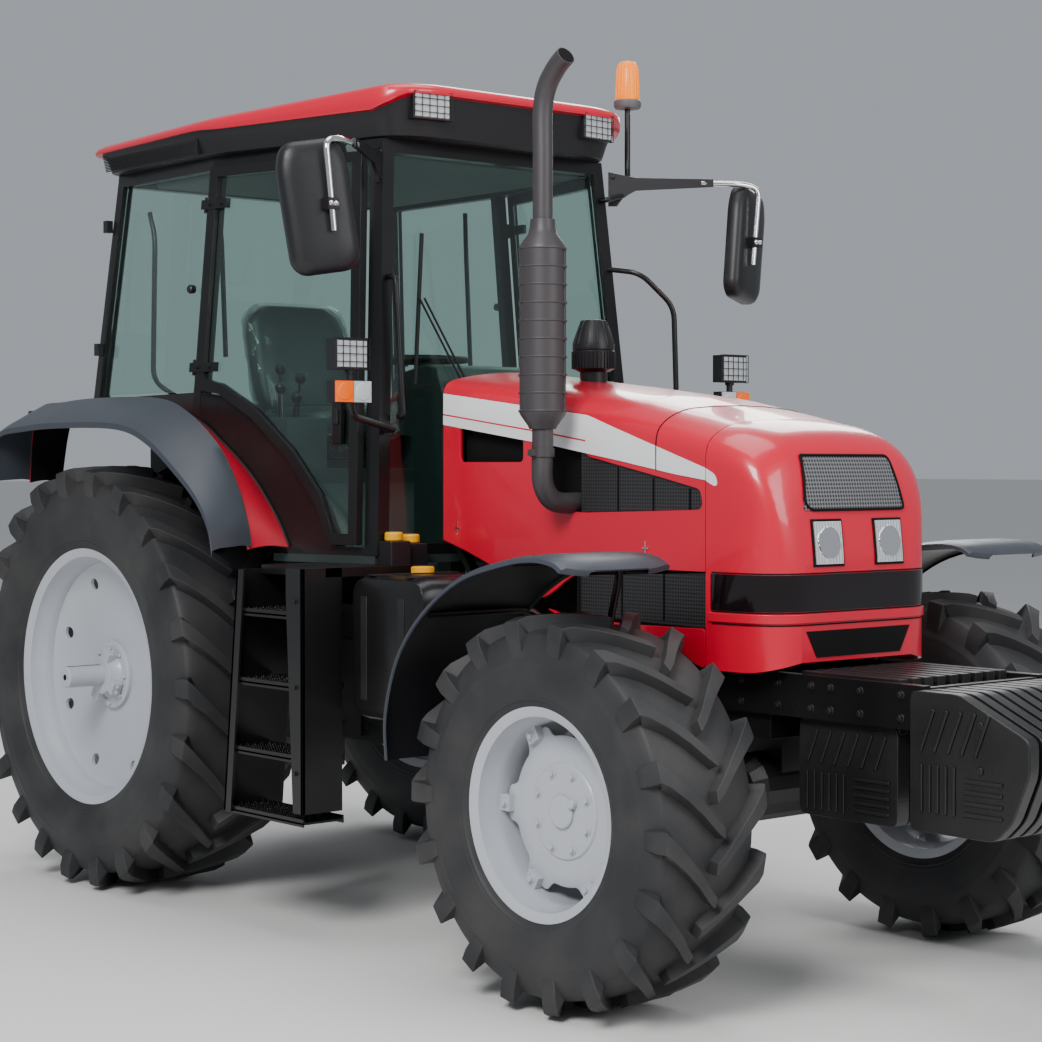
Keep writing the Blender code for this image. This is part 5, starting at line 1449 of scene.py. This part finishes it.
def cab_trim():
    """Fittings of the doors and windows, rails, wiper and headliner."""
    for label, side in SIDES:
        door_fittings(label, side)
        grab_rail(label, side)
        quarter_window_fittings(label, side)
    wiper = Shape()
    pivot = Vector((1.345, -0.18, 1.93))
    tip = Vector((1.318, -0.395, 2.33))
    for shift in (-0.012, 0.012):
        wiper.rod(pivot + Vector((0.014, shift, 0)), tip + Vector((0.014, shift, -0.04)), 0.004, 8)
    wiper.rod(tip + Vector((0.012, -0.03, -0.36)), tip + Vector((-0.012, 0.02, 0.20)), 0.008, 8)
    wiper.lathe(pivot, (1, 0, 0.07), [(0, 0.022), (0.020, 0.020)], 20)
    wiper.make("wiper", "chassis", ["seal_rubber"])
    inner_rails = Shape()
    for side in (-1, 1):
        inner_rails.pipe([(-0.24, side * 0.60, 2.72), (-0.20, side * 0.60, 2.62), (-0.22, side * 0.60, 2.02),
                          (-0.20, side * 0.50, 1.96)], 0.011, 0.06)
        inner_rails.pipe([(0.30, side * 0.64, 2.76), (0.33, side * 0.62, 2.60), (0.36, side * 0.62, 2.10)],
                         0.010, 0.06)
    inner_rails.make("cab_inner_rails", "chassis", ["black_paint"])
    lining = Shape()
    lining.box((-0.22, -0.58, 2.820), (1.18, 0.58, 2.864))
    lining.make("cab_headliner", "chassis", ["headliner"], 0.01)


# ---- running gear ----
def steps(label, side):
    """Four toothed treads between pressed side plates."""
    ladder = Shape()
    ladder.plate([(1.000, 0.42), (1.012, 0.42), (1.102, 1.300), (1.090, 1.300)], *span(side, 0.80, 1.05))
    ladder.plate([(1.000, 0.42), (1.045, 0.42), (1.135, 1.300), (1.090, 1.300)], *span(side, 1.040, 1.050))
    front, tooth_pitch, edge_thick = 1.488, 0.034, 0.006
    low, high = span(side, 0.88, 1.05)
    ladder.box((front, low, 0.46), (1.500, high, 1.314))
    ladder.plate([(1.44, 0.46), (1.50, 0.46), (1.50, 1.314), (1.40, 1.314), (1.40, 1.22)],
                 *span(side, 1.038, 1.050))
    low, high = span(side, 0.50, 0.95)
    ladder.box((1.10, low, 1.281), (1.50, high, 1.3145))
    low, high = span(side, 0.865, 1.04)
    for x, z in ((0.99, 0.42), (1.035, 0.64), (1.09, 0.89), (1.09, 1.14)):
        ladder.box((x, low, z + 0.002), (front, high, z + 0.010))
        for edge in (low, high - edge_thick):
            ladder.box((x, edge, z - 0.006), (front, edge + edge_thick, z + 0.022))
        teeth = int((front - x) / tooth_pitch)
        for row in range(5):
            y = low + 0.025 + row * (high - low - 0.05) / 4
            for k in range(teeth):
                start = x + 0.012 + k * tooth_pitch
                tooth = [(start, z + 0.010), (start + 0.022, z + 0.010), (start + 0.016, z + 0.024),
                         (start + 0.006, z + 0.024)]
                ladder.plate(tooth, y - 0.003, y + 0.003)
    for z in (0.60, 0.90, 1.20):
        ladder.bolt((1.46, side * 1.050, z), (0, side, 0), 0.010)
    ladder.make(f"steps_{label}_ladder", "chassis", ["black_paint"], 0.0012, 35,
                replaces=[f"steps_{label}"])


def tank(side):
    """Moulded tank on its saddle, with two straps and a yellow filler cap."""
    node = "fuel_tank" if side < 0 else "left_tank"
    x0, x1, z0, z1 = 1.53, 1.955, 0.79, 1.29
    body = Shape()
    y_in, y_out = 0.44, 0.88
    rings = []
    for y, tuck in ((y_in, 0.03), (y_in + 0.012, 0.008), (y_in + 0.03, 0.0), (y_out - 0.05, 0.0),
                    (y_out - 0.015, 0.012), (y_out, 0.045)):
        outline = [Vector((0, x0 + tuck, z0 + tuck)), Vector((0, x1 - tuck, z0 + tuck)),
                   Vector((0, x1 - tuck, z1 - tuck)), Vector((0, x0 + tuck, z1 - tuck))]
        rings.append([(p.y, side * y, p.z) for p in rounded(outline, 0.07, 5)])
    body.loft(rings)
    strap_half = 0.018
    top_low, top_high = span(side, y_in + 0.03, y_out - 0.03)
    out_low, out_high = span(side, y_out, y_out + 0.003)
    for x in (1.63, 1.84):
        body.box((x - strap_half, top_low, z1 - 0.002), (x + strap_half, top_high, z1 + 0.0035), 1)
        body.box((x - strap_half, out_low, z0 + 0.07), (x + strap_half, out_high, z1 - 0.07), 1)
    low, high = span(side, 0.2502, 0.50)
    body.box((1.66, low, 0.93), (1.90, high, 1.00), 1)
    cap = (1.60 if side < 0 else 1.80, side * 0.60, z1)
    body.lathe(cap, (0, 0, 1), [(-0.01, 0.040), (0.022, 0.040), (0.024, 0.034)], 28, 2)
    for angle in turns(18):
        ridge = Vector(cap) + post_spot(0, 0, 0.010, angle, 0.040)
        body.block(turned(ridge, angle), (0.003, 0.005, 0.022), 2)
    body.make(f"{node}_shell", "chassis", ["black_paint", "cast_black", "yellow_cap"], 0.002,
              replaces=[node])


def filler():
    """Coolant and oil fillers between the cab and the hood."""
    pots = Shape()
    for x, y, z in ((1.43, -0.60, 1.30), (1.40, -0.50, 1.29)):
        pots.box((x - 0.045, y - 0.045, 1.24), (x + 0.045, y + 0.045, z + 0.10))
        pots.lathe((x, y, z + 0.10), (0, 0, 1), [(0, 0.033), (0.030, 0.033), (0.032, 0.028)], 24, 1)
    pots.make("filler_pots", "chassis", ["dark_plastic", "yellow_cap"], 0.006)


def front_ballast():
    """Hanging plates ahead of the rails, with ribs cast on the outer ones."""
    front = Shape()
    back = WHEELBASE + 0.8604
    outline = [(back, 0.60), (FRONT_END - 0.12, 0.60), (FRONT_END - 0.06, 0.66), (FRONT_END - 0.001, 0.80),
               (FRONT_END - 0.001, 0.90), (FRONT_END - 0.25, 1.012), (back, 1.012)]
    outline = flat_round(outline, 0.025, 3)
    half, count, gap = 0.36, 12, 0.009
    pitch = 2 * half / count
    for k in range(count):
        y = -half + pitch * k
        front.plate(outline, y + gap, y + pitch - gap)
    front.plate([(back + 0.01, 0.62), (FRONT_END - 0.14, 0.62), (FRONT_END - 0.03, 0.80),
                 (FRONT_END - 0.03, 0.87), (FRONT_END - 0.26, 0.965), (back + 0.01, 0.965)], -0.351, 0.351)
    for side in (-1, 1):
        front.plate(outline, *span(side, 0.351, 0.357))
    for side in (-1, 1):
        proud = span(side, 0.3565, 0.3640)
        for k in range(5):
            x = back + 0.040 + k * 0.030
            front.box((x, proud[0], 0.66), (x + 0.012, proud[1], 0.80))
        for k in range(4):
            z = 0.665 + k * 0.032
            front.box((back + 0.20, proud[0], z), (back + 0.34, proud[1], z + 0.011))
        for k in range(5):
            x = back + 0.035 + k * 0.05
            front.plate([(x, 0.84), (x + 0.012, 0.835), (x + 0.062, 0.96), (x + 0.050, 0.965)], *proud)
    for z in (0.80, 0.93):
        front.rod((back + 0.26, -0.364, z), (back + 0.26, 0.364, z), 0.012, 12)
    front.make("ballast_front_plates", "chassis", ["cast_black"], 0.003, 30,
               replaces=["ballast_front"])


def rear_ballast():
    """Shorter plates between the rails, with their hangers and cast ribs."""
    rear = Shape()
    x0, x1 = WHEELBASE + 0.34, WHEELBASE + 0.74
    outline = flat_round([(x0, 0.58), (x1, 0.58), (x1, 0.8845), (x0, 0.8845)], 0.03, 3)
    half, count, gap, rail_inside = 0.27, 9, 0.003, 0.25
    pitch = 2 * half / count
    for k in range(count):
        y = -half + pitch * k
        rear.plate(outline, y + gap, y + pitch - gap)
        if abs(y + pitch / 2) < rail_inside:
            rear.box((x0, y + 0.011, 0.86), (x1, y + pitch - 0.011, 1.028))
    rear.plate([(x0 + 0.02, 0.60), (x1 - 0.02, 0.60), (x1 - 0.02, 0.86), (x0 + 0.02, 0.86)], -0.265, 0.265)
    for side in (-1, 1):
        proud = span(side, 0.268, 0.2745)
        for k in range(6):
            x = x0 + 0.030 + k * 0.030
            rear.box((x, proud[0], 0.60), (x + 0.012, proud[1], 0.72))
        for k in range(5):
            z = 0.61 + k * 0.024
            rear.box((x0 + 0.23, proud[0], z), (x1 - 0.03, proud[1], z + 0.010))
        for k in range(6):
            x = x0 + 0.03 + k * 0.055
            rear.plate([(x, 0.75), (x + 0.012, 0.745), (x + 0.055, 0.85), (x + 0.043, 0.855)], *proud)
    rear.make("ballast_rear_plates", "chassis", ["cast_black"], 0.003, 30,
              replaces=["ballast_rear"])


def frame_details():
    """Bolts on the rails, axle and gearbox, the gearbox's ribs and covers, and the engine's side."""
    rail_face, gearbox_face, engine_face, trumpet_end, manifold_y = 0.3002, 0.2202, 0.2502, 0.5602, 0.290
    extras = Shape()
    for side in (-1, 1):
        out = (0, side, 0)
        for ahead in (-0.28, -0.20, 0.12, 0.28, 0.42, 0.50, 0.62, 0.78):
            for z in (0.918, 0.988):
                extras.bolt((WHEELBASE + ahead, side * rail_face, z), out, 0.013)
        for k in range(6):
            for z in (1.06, 0.64):
                extras.bolt((0.36 + k * 0.20, side * gearbox_face, z), out, 0.014)
        low, high = span(side, gearbox_face, 0.236)
        for x in (0.72, 1.12):
            extras.box((x - 0.008, low, 0.60), (x + 0.008, high, 1.10))
        low, high = span(side, gearbox_face, 0.250)
        extras.box((0.50, low, 0.76), (0.92, high, 0.98))
        for angle in turns(8):
            at = (math.cos(angle) * 0.105, side * trumpet_end, REAR_R + math.sin(angle) * 0.105)
            extras.bolt(at, out, 0.010)
        low, high = span(side, engine_face, 0.285)
        for k in range(5):
            extras.box((1.58 + k * 0.18, low, 0.98), (1.68 + k * 0.18, high, 1.10))
        extras.rod((1.55, side * manifold_y, 1.33), (2.45, side * manifold_y, 1.33), 0.030, 20)
        for k in range(5):
            x = 1.66 + k * 0.18
            extras.pipe([(x, side * manifold_y, 1.33), (x, side * manifold_y, 1.40), (x, side * 0.245, 1.44)],
                        0.018, 0.04)
    extras.make("frame_details", "chassis", ["cast_black"], 0.002)
    for label, side in SIDES:
        bolts = Shape()
        x = WHEELBASE - 0.19
        nut = [(0, 0.018), (0.012, 0.018), (0.014, 0.012)]
        bolts.lathe((x, side * KINGPIN_Y, FRONT_R - 0.0445), (0, 0, 1), nut, 6)
        bolts.bolt((WHEELBASE - 0.235, side * (KINGPIN_Y - 0.04), FRONT_R + 0.080), (0, 0, 1), 0.010)
        bolts.make(f"knuckle_{label}_bolts", f"knuckle_{label}", ["zinc"])


# ---- nodes kept as they are ----
KEPT = {
    "tinted_glass": ("windscreen", "rear_window", "quarter_window_left", "quarter_window_right",
                     "door_glass_left", "door_glass_right"),
    "black_paint": ("cab_frame", "door_left", "door_right", "front_frame", "drawbar", "top_link", "lift_arms",
                    "lower_link_left", "lower_link_right", "lift_rod_left", "lift_rod_right", "hood_frame",
                    "tie_rod"),
    "cast_black": ("front_axle", "knuckle_left", "knuckle_right", "engine_block", "gearbox", "rear_axle"),
    "cab_lining": ("cab_floor",),
}


def dress_kept_nodes():
    """Finishes for the solid model's own nodes, with softened edges on all but the glass."""
    for paint, names in KEPT.items():
        for name in names:
            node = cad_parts[name]
            node.data.materials.clear()
            node.data.materials.append(MATERIALS[paint])
            if paint == "tinted_glass":
                continue
            weld = node.modifiers.new("weld", "WELD")
            weld.merge_threshold = 0.00005
            soften(node, 0.003 if name in ("cab_frame", "door_left", "door_right") else 0.005)


# ---- stage ----
def studio():
    """A wide matt floor, a pale sky and four soft lamps."""
    reach, level = 200, -0.002
    floor = Shape()
    corners = ((-reach, -reach), (reach, -reach), (reach, reach), (-reach, reach))
    floor.add([(x, y, level) for x, y in corners], [[0, 1, 2, 3]])
    data = floor.mesh("floor")
    material = bpy.data.materials.new("floor")
    material.use_nodes = True
    shader = material.node_tree.nodes["Principled BSDF"]
    shader.inputs["Base Color"].default_value = (0.72, 0.71, 0.69, 1)
    shader.inputs["Roughness"].default_value = 0.85
    data.materials.append(material)
    plane = bpy.data.objects.new("floor", data)
    bpy.context.scene.collection.objects.link(plane)
    world = bpy.data.worlds.new("studio")
    bpy.context.scene.world = world
    world.use_nodes = True
    sky = world.node_tree.nodes["Background"]
    sky.inputs["Color"].default_value = (0.86, 0.92, 1.0, 1)
    sky.inputs["Strength"].default_value = 0.42
    for name, place, aim, size, power in (
            ("key", (4.5, -7.5, 7.0), (0, 0, 1.2), 3.5, 950),
            ("fill", (8.0, 1.0, 4.5), (0, 0, 1.2), 4.0, 260),
            ("back", (-4.5, 6.0, 6.0), (0, 0, 1.5), 4.0, 380),
            ("top", (0.5, 0.0, 9.0), (0, 0, 1), 6.0, 330)):
        light = bpy.data.lights.new(name, "AREA")
        light.size = size
        light.energy = power
        lamp = bpy.data.objects.new(name, light)
        lamp.location = place
        lamp.rotation_mode = "QUATERNION"
        lamp.rotation_quaternion = (Vector(aim) - Vector(place)).to_track_quat("-Z", "Y")
        bpy.context.scene.collection.objects.link(lamp)


def camera():
    """A long lens ahead of the right front wheel, at the height of the headlights."""
    azimuth, pitch = math.radians(49.705), math.radians(1.436)
    level = math.cos(pitch)
    back = Vector((math.sin(azimuth) * level, -math.cos(azimuth) * level, math.sin(pitch)))
    data = bpy.data.cameras.new("view")
    data.lens = 77.75
    data.sensor_width = 36
    eye = bpy.data.objects.new("view", data)
    eye.location = (6.465, -5.497, 1.675)
    eye.rotation_mode = "QUATERNION"
    eye.rotation_quaternion = (-back).to_track_quat("-Z", "Y")
    bpy.context.scene.collection.objects.link(eye)
    bpy.context.scene.camera = eye


def build():
    """The whole tractor and its stage."""
    make_finishes()
    dress_kept_nodes()
    for label, side in SIDES:
        tyre("rear", label, side)
        tyre("front", label, side)
        rear_rim(label, side)
        front_rim(label, side)
        side_panel(label, side)
        rear_fender(label, side)
        front_fender(label, side)
        mirror(label, side)
        lamp_bracket(label, side)
        steps(label, side)
        tank(side)
    hood()
    nose()
    exhaust()
    air_inlet()
    roof()
    beacon()
    seat()
    steering()
    cab_trim()
    filler()
    front_ballast()
    rear_ballast()
    frame_details()
    studio()
    camera()


build()
